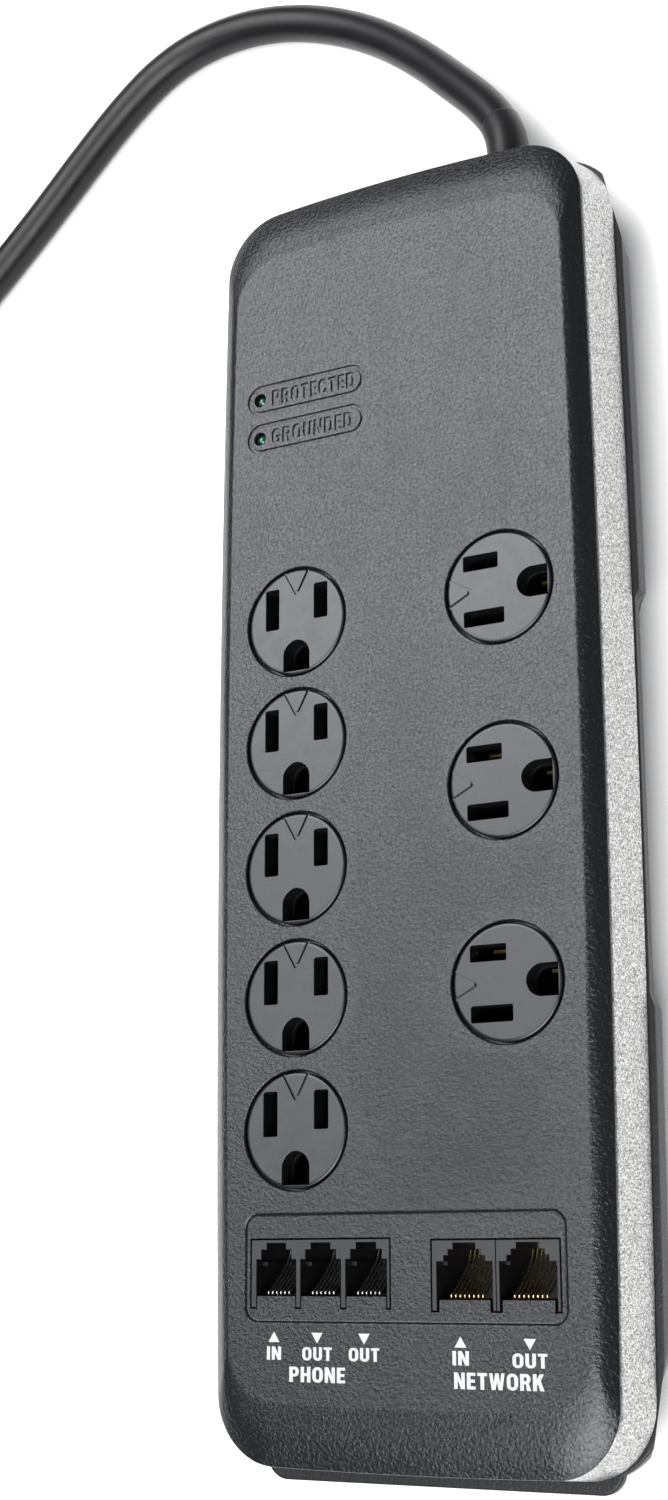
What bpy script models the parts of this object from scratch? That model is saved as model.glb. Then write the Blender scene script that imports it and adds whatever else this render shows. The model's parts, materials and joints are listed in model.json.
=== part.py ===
"""Eight-outlet surge protector strip with phone and network protection jacks.

The strip lies on its back: +Z is out of the outlet face, +Y is the cord end,
+X is the side with the three wide-spaced outlets. The origin is the centre of
the casing's footprint, on the surface that the rubber feet stand on.
All driving dimensions are in millimetres and are turned into metres by MM.
"""

import math

import bmesh
import bpy
import numpy as np
from mathutils import Matrix, Vector

MM = 0.001

# ---------------------------------------------------------------- casing
FACE_Z = 32.0            # outlet face above the surface
HALF_W = 47.6            # half width of the cover's edge, at mid length
HALF_L = 144.9           # half length of the cover's edge, on the centre line
EDGE_Z = 29.1            # height of the cover's sharp lower edge
FLAT_HALF_W = 43.45      # flat part of the outlet face
FLAT_HALF_L = 132.5
CORNER_R = 14.0
BOW_SIDE = 1.6           # how far the long sides pull in at the corners
BOW_TOP = 2.0            # the same for the cord end
BOW_BOTTOM = 0.8         # and for the jack end
CEILING_Z = 29.4         # inside of the cover
RIM_TOP_Z = 28.2
RIM_BOTTOM_Z = 17.0
RIM_FLARE = 2.8          # the side rim leans out by this much
BASE_TOP_Z = 16.7
BASE_BOTTOM_Z = 1.5
FLOOR_Z = 4.0            # top of the base tray's floor
FOOT_ZONE_HALF_W = 51.9
MID_ZONE_HALF_W = 50.75
PANEL_HALF_W = 33.0      # panel at the cord end, which holds the cord and the switch
PANEL_Y = 147.9
PANEL_TOP_Z = 22.9
LIP_HALF_W = 41.5        # lip under the silver rim at the jack end
LIP_Y = -148.2
GAP = 0.3

# ---------------------------------------------------------------- outlets
LEFT_X = -25.4
RIGHT_X = 25.4
FIRST_Y = 39.2           # centre of the first outlet in each column
LEFT_PITCH = 28.575
RIGHT_PITCH = 42.8625
HOLE_R = 12.8
DISC_R = 12.4
DISC_FLANGE_R = 13.6
SLOT_X = 6.35            # half of the standard 12.7 mm blade spacing
SLOT_TOP = 8.3
SLOT_W = 3.3
NEUTRAL_H = 9.4
HOT_H = 8.1
GROUND_Y = -7.95
GROUND_W = 6.6
GROUND_TOP = -4.45
GROUND_BOTTOM = -11.45

# ---------------------------------------------------------------- jacks
PANEL_RECESS = (-38.0, -115.2, 37.2, -92.5)
JACK_FACE_Z = 31.4
PHONE_BLOCK = (-36.6, -114.6, -2.5, -98.0)
NETWORK_BLOCK = (6.8, -114.5, 36.2, -98.4)
PHONE_X = (-30.4, -19.5, -8.55)
PHONE_W = 9.8
NETWORK_X = (14.2, 28.4)
NETWORK_W = 12.6
JACK_FLOOR_Z = 17.5

# ---------------------------------------------------------------- lights and switch
LED_XY = ((-35.3, 95.2), (-35.3, 85.5))
SWITCH_X = -18.0
SWITCH_Z = 12.2
ROCKER_Y = 144.0         # hinge line of the rocker
ROCKER_TILT = 11.0       # the rocker rests tilted by this, pressed to ON

# ---------------------------------------------------------------- fasteners and feet
SCREWS = ((-36.0, 131.0), (36.0, 131.0), (-36.0, -131.0), (36.0, -131.0))
FEET = ((-34.0, 106.0), (34.0, 106.0), (-34.0, -106.0), (34.0, -106.0))
KEYHOLES = ((0.0, 92.0), (0.0, -92.0))

# ---------------------------------------------------------------- cord
CORD_D = 9.4
GLAND_X = 22.8
GLAND_Z = 15.0
COIL_X = -218.0
COIL_Y = 173.9
COIL_R_OUT = 61.0        # outermost turn's centre line
COIL_R_IN = 39.3         # innermost turn's centre line
COIL_Z0 = 1.4
COIL_H = 18.9
CORD_ROUTE = (
    (22.8, 148.0, 15.0),
    (22.0, 156.0, 14.9),
    (18.3, 163.8, 14.0),
    (9.0, 174.9, 11.8),
    (-1.6, 186.2, 9.2),
    (-14.2, 197.5, 6.8),
    (-26.5, 205.8, 5.3),
    (-41.3, 212.3, 4.8),
    (-54.5, 215.2, 4.75),
    (-68.0, 215.2, 4.75),
    (-81.8, 211.5, 4.75),
    (-95.4, 202.8, 4.75),
    (-108.8, 191.0, 4.75),
    (-121.2, 179.2, 4.75),
    (-133.7, 167.7, 4.8),
    (-155.5, 148.1, 5.4),
    (-177.4, 128.4, 6.1),
)

# =============================================================== set-up
for old in list(bpy.data.objects):
    bpy.data.objects.remove(old, do_unlink=True)

parts = bpy.data.collections.new("surge_protector_strip")
cutters = bpy.data.collections.new("cutters")
bpy.context.scene.collection.children.link(parts)
bpy.context.scene.collection.children.link(cutters)


def material(name, colour, roughness, metallic=0.0):
    mat = bpy.data.materials.new(name)
    mat.use_nodes = True
    shader = mat.node_tree.nodes["Principled BSDF"]
    shader.inputs["Base Color"].default_value = (*colour, 1.0)
    shader.inputs["Roughness"].default_value = roughness
    shader.inputs["Metallic"].default_value = metallic
    mat.diffuse_color = (*colour, 1.0)
    return mat


MATS = {
    "cover": material("cover_plastic", (0.035, 0.036, 0.04), 0.45),
    "rim": material("silver_rim_paint", (0.6, 0.6, 0.58), 0.4, 0.6),
    "base": material("base_plastic", (0.09, 0.09, 0.095), 0.5),
    "disc": material("disc_plastic", (0.045, 0.046, 0.05), 0.4),
    "socket": material("socket_insulator", (0.7, 0.68, 0.62), 0.5),
    "brass": material("brass_bar", (0.75, 0.55, 0.25), 0.3, 1.0),
    "board": material("circuit_board", (0.04, 0.2, 0.08), 0.5),
    "varistor": material("varistor_coating", (0.05, 0.12, 0.45), 0.5),
    "fuse": material("fuse_case", (0.6, 0.6, 0.62), 0.3, 1.0),
    "choke": material("choke_winding", (0.55, 0.28, 0.12), 0.35, 1.0),
    "jack": material("jack_plastic", (0.03, 0.03, 0.033), 0.45),
    "contact": material("gold_contact", (0.85, 0.65, 0.3), 0.25, 1.0),
    "led": material("green_led", (0.02, 0.25, 0.12), 0.15),
    "rocker": material("rocker_plastic", (0.02, 0.02, 0.02), 0.3),
    "rubber": material("rubber", (0.02, 0.02, 0.02), 0.8),
    "cord": material("cord_jacket", (0.015, 0.015, 0.017), 0.4),
    "nickel": material("nickel_blade", (0.7, 0.68, 0.62), 0.25, 1.0),
    "steel": material("screw_steel", (0.55, 0.55, 0.57), 0.35, 1.0),
}


def own_material(obj, key):
    """Each piece has its own copy, so that it can be changed alone."""
    mat = MATS[key].copy()
    mat.name = obj.name + "_material"
    obj.data.materials.clear()
    obj.data.materials.append(mat)


def from_bmesh(name, bm, collection):
    bmesh.ops.recalc_face_normals(bm, faces=bm.faces)
    mesh = bpy.data.meshes.new(name)
    bm.to_mesh(mesh)
    bm.free()
    obj = bpy.data.objects.new(name, mesh)
    collection.objects.link(obj)
    if collection is cutters:
        obj.hide_render = True
        obj.display_type = "WIRE"
    return obj


def add_box(bm, low, high):
    low, high = Vector(low) * MM, Vector(high) * MM
    size = high - low
    matrix = Matrix.Translation((low + high) / 2) @ Matrix.Diagonal((*size, 1.0))
    bmesh.ops.create_cube(bm, size=1.0, matrix=matrix)


def add_cylinder(bm, x, y, z0, z1, r, segments=32, r_top=None):
    matrix = Matrix.Translation(Vector((x, y, (z0 + z1) / 2)) * MM)
    bmesh.ops.create_cone(bm, cap_ends=True, segments=segments, radius1=r * MM,
                          radius2=(r if r_top is None else r_top) * MM,
                          depth=(z1 - z0) * MM, matrix=matrix)


def add_prism(bm, outline, z0, z1, matrix=None):
    """A flat outline in XY, raised from z0 to z1."""
    verts = [bm.verts.new(Vector((x, y, z0)) * MM) for x, y in outline]
    face = bm.faces.new(verts)
    raised = bmesh.ops.extrude_face_region(bm, geom=[face])
    top = [v for v in raised["geom"] if isinstance(v, bmesh.types.BMVert)]
    bmesh.ops.translate(bm, verts=top, vec=Vector((0, 0, z1 - z0)) * MM)
    if matrix is not None:
        bmesh.ops.transform(bm, matrix=matrix, verts=verts + top)


def rounded_rect(x0, y0, x1, y1, r, segments=4):
    points = []
    for cx, cy, start in ((x1 - r, y1 - r, 0), (x0 + r, y1 - r, 90),
                          (x0 + r, y0 + r, 180), (x1 - r, y0 + r, 270)):
        for i in range(segments + 1):
            a = math.radians(start + 90 * i / segments)
            points.append((cx + r * math.cos(a), cy + r * math.sin(a)))
    return points


def casing_outline(half_w, half_l, r, corner=6, side=8, end=4):
    """Rounded rectangle whose four sides bow outwards at their middles."""
    corners = ((half_w - r, half_l - r, 0), (-half_w + r, half_l - r, 90),
               (-half_w + r, -half_l + r, 180), (half_w - r, -half_l + r, 270))
    points = []
    for k, (cx, cy, start) in enumerate(corners):
        for i in range(corner + 1):
            a = math.radians(start + 90 * i / corner)
            points.append((cx + r * math.cos(a), cy + r * math.sin(a)))
        nx, ny, nstart = corners[(k + 1) % 4]
        a = math.radians(nstart)
        x0, y0 = points[-1]
        x1, y1 = nx + r * math.cos(a), ny + r * math.sin(a)
        steps = end if k % 2 == 0 else side
        for i in range(1, steps):
            points.append((x0 + (x1 - x0) * i / steps, y0 + (y1 - y0) * i / steps))
    bowed = []
    for x, y in points:
        bow = BOW_TOP if y > 0 else BOW_BOTTOM
        u, v = x / half_w, y / half_l
        bowed.append((x - math.copysign(BOW_SIDE * v * v * abs(u), x),
                      y - math.copysign(bow * u * u * abs(v), y)))
    return bowed


def loft(bm, sections, closed_loop=False):
    """Sections are (half width, half length, corner radius, z), in order."""
    rings = []
    for half_w, half_l, r, z in sections:
        rings.append([bm.verts.new(Vector((x, y, z)) * MM)
                      for x, y in casing_outline(half_w, half_l, r)])
    pairs = list(zip(rings, rings[1:]))
    if closed_loop:
        pairs.append((rings[-1], rings[0]))
    else:
        bm.faces.new(rings[0])
        bm.faces.new(rings[-1])
    for a, b in pairs:
        n = len(a)
        for i in range(n):
            bm.faces.new((a[i], a[(i + 1) % n], b[(i + 1) % n], b[i]))


def boolean(obj, other, operation="DIFFERENCE"):
    modifier = obj.modifiers.new(other.name, "BOOLEAN")
    modifier.operation = operation
    modifier.solver = "EXACT"
    modifier.object = other


def settle(obj):
    """Turns the object and its modifiers into one plain mesh."""
    bpy.context.view_layer.update()
    graph = bpy.context.evaluated_depsgraph_get()
    mesh = bpy.data.meshes.new_from_object(obj.evaluated_get(graph))
    bm = bmesh.new()
    bm.from_mesh(mesh)
    bmesh.ops.remove_doubles(bm, verts=bm.verts, dist=1e-6)
    bm.to_mesh(mesh)
    bm.free()
    if obj.type == "MESH":
        obj.modifiers.clear()
        obj.data = mesh
        return obj
    name, matrix = obj.name, obj.matrix_world.copy()
    collections = list(obj.users_collection)
    bpy.data.objects.remove(obj, do_unlink=True)
    new = bpy.data.objects.new(name, mesh)
    new.matrix_world = matrix
    for collection in collections:
        collection.objects.link(new)
    return new


def turned(name, profile, steps=24, collection=parts):
    """A solid of revolution about Z. The profile runs from the top of the
    axis, down the outer side, to the bottom of the axis, as (r, z)."""
    mesh = bpy.data.meshes.new(name)
    points = [Vector((r, 0, z)) * MM for r, z in profile]
    mesh.from_pydata(points, [(i, i + 1) for i in range(len(points) - 1)], [])
    obj = bpy.data.objects.new(name, mesh)
    collection.objects.link(obj)
    screw = obj.modifiers.new("turn", "SCREW")
    screw.steps = steps
    screw.render_steps = steps
    screw.use_merge_vertices = True
    screw.merge_threshold = 0.00001
    return obj


def union_of_boxes(name, boxes):
    """A bent strip: the first box with the others joined on one by one."""
    bm = bmesh.new()
    add_box(bm, *boxes[0])
    obj = from_bmesh(name, bm, parts)
    for i, box in enumerate(boxes[1:]):
        bm = bmesh.new()
        add_box(bm, *box)
        boolean(obj, from_bmesh(f"{name}_piece_{i}", bm, cutters), "UNION")
    return settle(obj)


def plate(name, outline, thickness, matrix):
    """A flat stamped plate: a filled 2D outline with its thickness."""
    curve = bpy.data.curves.new(name, "CURVE")
    curve.dimensions = "2D"
    curve.fill_mode = "BOTH"
    curve.extrude = thickness / 2 * MM
    spline = curve.splines.new("POLY")
    spline.points.add(len(outline) - 1)
    for point, (x, y) in zip(spline.points, outline):
        point.co = (x * MM, y * MM, 0, 1)
    spline.use_cyclic_u = True
    obj = bpy.data.objects.new(name, curve)
    parts.objects.link(obj)
    obj.matrix_world = matrix
    return settle(obj)


def smooth(obj, degrees=40):
    obj.data.shade_smooth()
    obj.data.set_sharp_from_angle(angle=math.radians(degrees))


def spline_points(route, spacing):
    """Points at an even spacing on the natural cubic curve through the route."""
    knots = np.array(route, float)
    chord = np.r_[0, np.cumsum(np.linalg.norm(np.diff(knots, axis=0), axis=1))]
    n = len(knots)
    h = np.diff(chord)
    matrix, right = np.eye(n), np.zeros((n, 3))
    for i in range(1, n - 1):
        matrix[i, i - 1:i + 2] = h[i - 1], 2 * (h[i - 1] + h[i]), h[i]
        right[i] = 6 * ((knots[i + 1] - knots[i]) / h[i] - (knots[i] - knots[i - 1]) / h[i - 1])
    second = np.linalg.solve(matrix, right)

    def at(s):
        i = int(np.clip(np.searchsorted(chord, s) - 1, 0, n - 2))
        a, b = (chord[i + 1] - s) / h[i], (s - chord[i]) / h[i]
        return (a * knots[i] + b * knots[i + 1]
                + ((a ** 3 - a) * second[i] + (b ** 3 - b) * second[i + 1]) * h[i] ** 2 / 6)

    fine = np.array([at(s) for s in np.linspace(0, chord[-1], 1500)])
    length = np.r_[0, np.cumsum(np.linalg.norm(np.diff(fine, axis=0), axis=1))]
    count = max(2, int(round(length[-1] / spacing)) + 1)
    wanted = np.linspace(0, length[-1], count)
    return np.array([[np.interp(w, length, fine[:, k]) for k in range(3)] for w in wanted])


def tube(name, points, diameter, radii=None, resolution=2):
    curve = bpy.data.curves.new(name, "CURVE")
    curve.dimensions = "3D"
    curve.bevel_depth = diameter / 2 * MM
    curve.bevel_resolution = resolution
    curve.use_fill_caps = True
    spline = curve.splines.new("POLY")
    spline.points.add(len(points) - 1)
    for i, (point, co) in enumerate(zip(spline.points, points)):
        point.co = (*(Vector(co) * MM), 1)
        point.radius = 1.0 if radii is None else radii[i]
    obj = bpy.data.objects.new(name, curve)
    parts.objects.link(obj)
    return obj


# =============================================================== top cover
bm = bmesh.new()
loft(bm, [
    (41.6, 139.0, 8.5, CEILING_Z),
    (42.4, 139.7, 9.0, 20.0),
    (44.6, 141.9, 11.0, 20.0),
    (44.8, 142.1, 11.2, 28.5),
    (HALF_W - 0.1, HALF_L - 0.1, CORNER_R - 0.1, 28.5),
    (HALF_W, HALF_L, CORNER_R, EDGE_Z),
    (46.3, 142.0, 13.2, 30.25),
    (44.9, 138.0, 12.2, 31.3),
    (FLAT_HALF_W, FLAT_HALF_L, 11.0, FACE_Z),
])
top_cover = from_bmesh("top_cover", bm, parts)

left_outlets = [(LEFT_X, FIRST_Y - LEFT_PITCH * i) for i in range(5)]
right_outlets = [(RIGHT_X, FIRST_Y - RIGHT_PITCH * i) for i in range(3)]

for i, (x, y) in enumerate(SCREWS):
    bm = bmesh.new()
    add_cylinder(bm, x, y, 6.2, CEILING_Z + 0.8, 3.6, 16)
    boolean(top_cover, from_bmesh(f"post_{i}", bm, cutters), "UNION")

bm = bmesh.new()
for x, y in left_outlets + right_outlets:
    add_cylinder(bm, x, y, 26.0, 36.0, HOLE_R, 32)
for x, y in LED_XY:
    add_cylinder(bm, x, y, 26.0, 36.0, 1.6, 16)
for x, y in SCREWS:
    add_cylinder(bm, x, y, 2.0, 21.0, 1.75, 12)
for block in (PHONE_BLOCK, NETWORK_BLOCK):
    add_box(bm, (block[0] - GAP, block[1] - GAP, 26), (block[2] + GAP, block[3] + GAP, 31.0))
boolean(top_cover, from_bmesh("cover_holes", bm, cutters))
bm = bmesh.new()
add_prism(bm, rounded_rect(*PANEL_RECESS, 3.0), JACK_FACE_Z, 36.0)
boolean(top_cover, from_bmesh("jack_recess", bm, cutters))
bm = bmesh.new()
for block in (PHONE_BLOCK, NETWORK_BLOCK):
    add_box(bm, (block[0] - GAP, block[1] - GAP, 30.5), (block[2] + GAP, block[3] + GAP, 36.0))
boolean(top_cover, from_bmesh("jack_windows", bm, cutters))
settle(top_cover)
own_material(top_cover, "cover")
smooth(top_cover, 30)

# =============================================================== side rim
bm = bmesh.new()
loft(bm, [
    (HALF_W - 0.1, HALF_L - 0.1, CORNER_R, RIM_TOP_Z),
    (HALF_W + RIM_FLARE, HALF_L + 1.0, CORNER_R + 1.0, RIM_BOTTOM_Z),
    (HALF_W + RIM_FLARE - 2.2, HALF_L - 1.4, CORNER_R - 1.2, RIM_BOTTOM_Z),
    (HALF_W - 2.4, HALF_L - 2.4, CORNER_R - 2.4, RIM_TOP_Z),
], closed_loop=True)
side_rim = from_bmesh("side_rim", bm, parts)
bm = bmesh.new()
add_box(bm, (-PANEL_HALF_W - GAP, 139.0, 10), (PANEL_HALF_W + GAP, 152.0, PANEL_TOP_Z + GAP))
boolean(side_rim, from_bmesh("rim_notch", bm, cutters))
settle(side_rim)
own_material(side_rim, "rim")
smooth(side_rim, 30)

# =============================================================== base tray
bm = bmesh.new()
loft(bm, [
    (45.6, 141.2, 12.0, BASE_BOTTOM_Z),
    (FOOT_ZONE_HALF_W, 145.6, CORNER_R + 1.5, 12.5),
    (FOOT_ZONE_HALF_W, HALF_L + 1.2, CORNER_R + 1.5, BASE_TOP_Z),
])
base_tray = from_bmesh("base_tray", bm, parts)
bm = bmesh.new()
add_prism(bm, rounded_rect(-PANEL_HALF_W, 140.5, PANEL_HALF_W, PANEL_Y, 3.4, 4), 3.0, PANEL_TOP_Z)
boolean(base_tray, from_bmesh("cord_end_panel", bm, cutters), "UNION")
bm = bmesh.new()
rings = [[bm.verts.new(Vector((x, y, z)) * MM)
          for x, y in rounded_rect(-LIP_HALF_W + g, LIP_Y + g * 1.9, LIP_HALF_W - g, -136.0, 5.0, 6)]
         for g, z in ((2.0, 11.8), (0.0, 14.4), (0.0, BASE_TOP_Z))]
bm.faces.new(rings[0])
bm.faces.new(rings[-1])
for a, b in zip(rings, rings[1:]):
    for i in range(len(a)):
        k = (i + 1) % len(a)
        bm.faces.new((a[i], a[k], b[k], b[i]))
boolean(base_tray, from_bmesh("jack_end_lip", bm, cutters), "UNION")
# the wide foot zones run in at a slant towards the four corners
for side in (1, -1):
    for s, x0, y0, slope in ((1, 51.2, 120.7, 0.235), (-1, 50.9, 123.0, 0.176)):
        bm = bmesh.new()
        outline = [(side * (x0 - slope * (y - y0)), s * y) for y in (110.0, 142.0)]
        add_prism(bm, outline + [(side * 60.0, s * 142.0), (side * 60.0, s * 110.0)], -1.0, 20.0)
        boolean(base_tray, from_bmesh(f"corner_trim_{side}_{s}", bm, cutters))
# the long sides step in between the two foot zones, for the fingers
for s in (1, -1):
    bm = bmesh.new()
    rings = []
    for y, grow in ((40.0, 1.6), (36.8, 0.0), (-49.0, 0.0), (-53.6, 1.6)):
        rings.append([bm.verts.new(Vector((s * x, y, z)) * MM) for x, z in (
            (MID_ZONE_HALF_W + grow, 20.0), (MID_ZONE_HALF_W + grow, 14.3 - grow),
            (45.6 + grow * 2, 5.5), (45.6 + grow * 2, -1.0), (62.0, -1.0), (62.0, 20.0))])
    bm.faces.new(rings[0])
    bm.faces.new(rings[-1])
    for a, b in zip(rings, rings[1:]):
        for i in range(6):
            bm.faces.new((a[i], a[(i + 1) % 6], b[(i + 1) % 6], b[i]))
    boolean(base_tray, from_bmesh(f"finger_step_{'right' if s > 0 else 'left'}", bm, cutters))
# inside
bm = bmesh.new()
loft(bm, [
    (43.0, 139.0, 10.0, FLOOR_Z),
    (48.3, 143.4, 12.6, 15.5),
    (48.3, 143.4, 12.6, 30.0),
])
boolean(base_tray, from_bmesh("tray_inside", bm, cutters))
bm = bmesh.new()
add_box(bm, (-30.4, 136.0, 4.8), (30.4, 145.4, 21.8))
boolean(base_tray, from_bmesh("panel_inside", bm, cutters))
# screw bosses and board standoffs
standoffs = ((-30.0, 68.0), (30.0, 68.0), (-30.0, 118.0), (30.0, 118.0),
             (-34.0, -96.5), (34.0, -96.5), (-34.0, -117.0), (34.0, -117.0))
bm = bmesh.new()
for x, y in SCREWS:
    add_cylinder(bm, x, y, FLOOR_Z - 1.0, 5.8, 5.0, 16)
for x, y in standoffs:
    add_cylinder(bm, x, y, FLOOR_Z - 1.0, 8.7, 2.4, 8)
boolean(base_tray, from_bmesh("bosses", bm, cutters), "UNION")
bm = bmesh.new()
for x, y in SCREWS:
    add_cylinder(bm, x, y, 0.0, 4.1, 3.5, 16)
for x, y in FEET:
    add_cylinder(bm, x, y, 0.0, 2.4, 6.3, 24)
boolean(base_tray, from_bmesh("counterbores", bm, cutters))
bm = bmesh.new()
for x, y in SCREWS:
    add_cylinder(bm, x, y, 3.0, 8.0, 1.8, 12)
for x, y in KEYHOLES:
    outline = []
    for i in range(17):
        a = math.radians(90 + 31 + (360 - 62) * i / 16)
        outline.append((x + 4.3 * math.cos(a), y + 4.3 * math.sin(a)))
    for i in range(9):
        a = math.radians(180 * i / 8)
        outline.append((x + 2.2 * math.cos(a), y + 9.0 + 2.2 * math.sin(a)))
    add_prism(bm, outline, 0.0, 6.0)
boolean(base_tray, from_bmesh("floor_holes", bm, cutters))
# cord and switch openings in the cord end
bm = bmesh.new()
add_cylinder(bm, 0, 0, -6, 6, 5.8, 24)
bmesh.ops.transform(bm, matrix=Matrix.Translation(Vector((GLAND_X, 146.0, GLAND_Z)) * MM)
                    @ Matrix.Rotation(math.radians(90), 4, "X"), verts=bm.verts)
add_box(bm, (SWITCH_X - 11.0, 143.0, SWITCH_Z - 7.7), (SWITCH_X + 11.0, 150.0, SWITCH_Z + 7.7))
boolean(base_tray, from_bmesh("end_openings", bm, cutters))
settle(base_tray)
own_material(base_tray, "base")
smooth(base_tray, 30)

# =============================================================== outlets
def ground_outline(grow=0.0, segments=8):
    """U-shaped earth hole, round towards the middle of the outlet."""
    r = GROUND_W / 2 + grow
    top = GROUND_TOP + grow
    cy = top - r
    points = [(r * math.cos(math.radians(180 * i / segments)),
               cy + r * math.sin(math.radians(180 * i / segments))) for i in range(segments + 1)]
    return points + [(-r, GROUND_BOTTOM - grow), (r, GROUND_BOTTOM - grow)]


disc = turned("disc_master", [
    (0, 31.85), (DISC_R - 0.3, 31.85), (DISC_R, 31.55), (DISC_R, 29.1),
    (DISC_FLANGE_R, 29.1), (DISC_FLANGE_R, 27.9), (0, 27.9)], 28)
bm = bmesh.new()
add_box(bm, (-SLOT_X - SLOT_W / 2, SLOT_TOP - NEUTRAL_H, 20), (-SLOT_X + SLOT_W / 2, SLOT_TOP, 40))
add_box(bm, (SLOT_X - SLOT_W / 2, SLOT_TOP - HOT_H, 20), (SLOT_X + SLOT_W / 2, SLOT_TOP, 40))
add_prism(bm, ground_outline(), 20, 40)
boolean(disc, from_bmesh("disc_holes", bm, cutters))
disc = settle(disc)
disc_mesh = disc.data
bpy.data.objects.remove(disc, do_unlink=True)

bm = bmesh.new()
add_box(bm, (-15.0, -13.8, 9.5), (15.0, 13.8, 27.5))
block = from_bmesh("block_master", bm, parts)
bm = bmesh.new()
add_box(bm, (-SLOT_X - 2.3, -1.7, 0), (-SLOT_X + 2.3, 8.9, 40))
add_box(bm, (SLOT_X - 2.3, -1.7, 0), (SLOT_X + 2.3, 8.9, 40))
add_box(bm, (-4.1, -12.2, 0), (4.1, -3.7, 40))
boolean(block, from_bmesh("block_cavities", bm, cutters))
block = settle(block)
block_mesh = block.data
bpy.data.objects.remove(block, do_unlink=True)

number = 0
for column, outlets, turn in (("left", left_outlets, 0.0), ("right", right_outlets, 90.0)):
    for x, y in outlets:
        number += 1
        for name, mesh, key in ((f"safety_disc_{number}", disc_mesh, "disc"),
                                (f"socket_block_{number}", block_mesh, "socket")):
            obj = bpy.data.objects.new(name, mesh.copy())
            parts.objects.link(obj)
            obj.location = Vector((x, y, 0)) * MM
            obj.rotation_euler = (0, 0, math.radians(turn))
            own_material(obj, key)
            if key == "disc":
                smooth(obj, 30)

# =============================================================== bus bars
def comb_outline(low, high, foot, top, teeth):
    """A strip from low to high along Y, foot high, with upright teeth."""
    points = [(low, 5.0), (high, 5.0), (high, foot)]
    for a, b in sorted(teeth, reverse=True):
        points += [(b, foot), (b, top), (a, top), (a, foot)]
    return points + [(low, foot)]


STAND = Matrix(((0, 0, 1, 0), (1, 0, 0, 0), (0, 1, 0, 0), (0, 0, 0, 1)))   # XY plane to YZ
for name, offset, span, top in (("left_line_bar", 8.0, (0.6, 7.6), 22.0),
                                ("left_neutral_bar", -8.0, (0.0, 7.6), 22.0),
                                ("left_ground_bar", 3.3, (-11.0, -5.0), 20.0)):
    teeth = [(y + span[0], y + span[1]) for _, y in left_outlets]
    outline = comb_outline(-88.0, 60.0, 9.0, top, teeth)
    obj = plate(name, outline, 0.7,
                Matrix.Translation(Vector((LEFT_X + offset, 0, 0)) * MM) @ STAND)
    own_material(obj, "brass")

for name, strip, reach, y_off, leaf, top in (
        ("right_line_bar", (-13.0, -10.5), (-13.0, -0.6), 8.0, (-7.6, -0.6), 22.0),
        ("right_neutral_bar", (0.6, 3.1), (-7.6, 3.1), -8.0, (-7.6, 0.0), 22.0),
        ("right_ground_bar", (12.0, 14.5), (5.0, 14.5), 3.3, (5.0, 11.0), 20.0)):
    boxes = [((RIGHT_X + strip[0], -60.0, 5.0), (RIGHT_X + strip[1], 60.0, 6.0))]
    for _, y in right_outlets:
        y0, y1 = y + y_off - 0.35, y + y_off + 0.35
        boxes.append(((RIGHT_X + reach[0], y0, 5.0), (RIGHT_X + reach[1], y1, 9.0)))
        boxes.append(((RIGHT_X + leaf[0], y0, 8.0), (RIGHT_X + leaf[1], y1, top)))
    own_material(union_of_boxes(name, boxes), "brass")

# =============================================================== protection circuit
bm = bmesh.new()
add_box(bm, (-40, 64, 9.0), (40, 122, 10.6))
own_material(from_bmesh("main_board", bm, parts), "board")
for i, x in enumerate((-22.0, -2.0, 18.0)):
    obj = turned(f"varistor_{i + 1}", [(0, 2.4), (5.6, 2.4), (7.0, 1.2), (7.0, -1.2), (5.6, -2.4), (0, -2.4)], 20)
    obj.location = Vector((x, 78.0, 18.2)) * MM
    obj.rotation_euler = (math.radians(90), 0, 0)
    obj = settle(obj)
    own_material(obj, "varistor")
    smooth(obj, 30)
obj = turned("thermal_fuse", [(0, 6.0), (1.2, 6.0), (2.0, 5.2), (2.0, -5.2), (1.2, -6.0), (0, -6.0)], 12)
obj.location = Vector((31.5, 90.0, 13.2)) * MM
obj.rotation_euler = (math.radians(90), 0, 0)
own_material(settle(obj), "fuse")
choke = [(11.5 + 4.4 * math.cos(math.radians(a)), 15.6 + 4.4 * math.sin(math.radians(a)))
         for a in range(90, -271, -45)]
obj = turned("filter_choke", choke, 18)
obj.location = Vector((6.0, 104.0, 0)) * MM
obj = settle(obj)
own_material(obj, "choke")
smooth(obj, 50)

# indicator lights stand on the main board and end in the outlet face
for name, (x, y) in zip(("led_protected", "led_grounded"), LED_XY):
    obj = turned(name, [(0, 31.8), (0.7, 31.7), (1.2, 31.3), (1.3, 30.8), (1.3, 14.0),
                        (2.3, 14.0), (2.3, 10.9), (0, 10.9)], 16)
    obj.location = Vector((x, y, 0)) * MM
    obj = settle(obj)
    own_material(obj, "led")
    smooth(obj, 40)

# =============================================================== phone and network jacks
bm = bmesh.new()
add_box(bm, (-38, -120, 9.0), (38, -93.5, 10.6))
own_material(from_bmesh("data_board", bm, parts), "board")


def jack_outline(cx, width, y_top, y_bottom, steps):
    """Jack opening with the stepped latch way at its +Y side."""
    points = []
    y = y_top
    for w, h in steps:
        points += [(cx + w / 2, y), (cx + w / 2, y - h)]
        y -= h
    points += [(cx + width / 2, y), (cx + width / 2, y_bottom)]
    return points + [(2 * cx - x, py) for x, py in reversed(points)]


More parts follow.
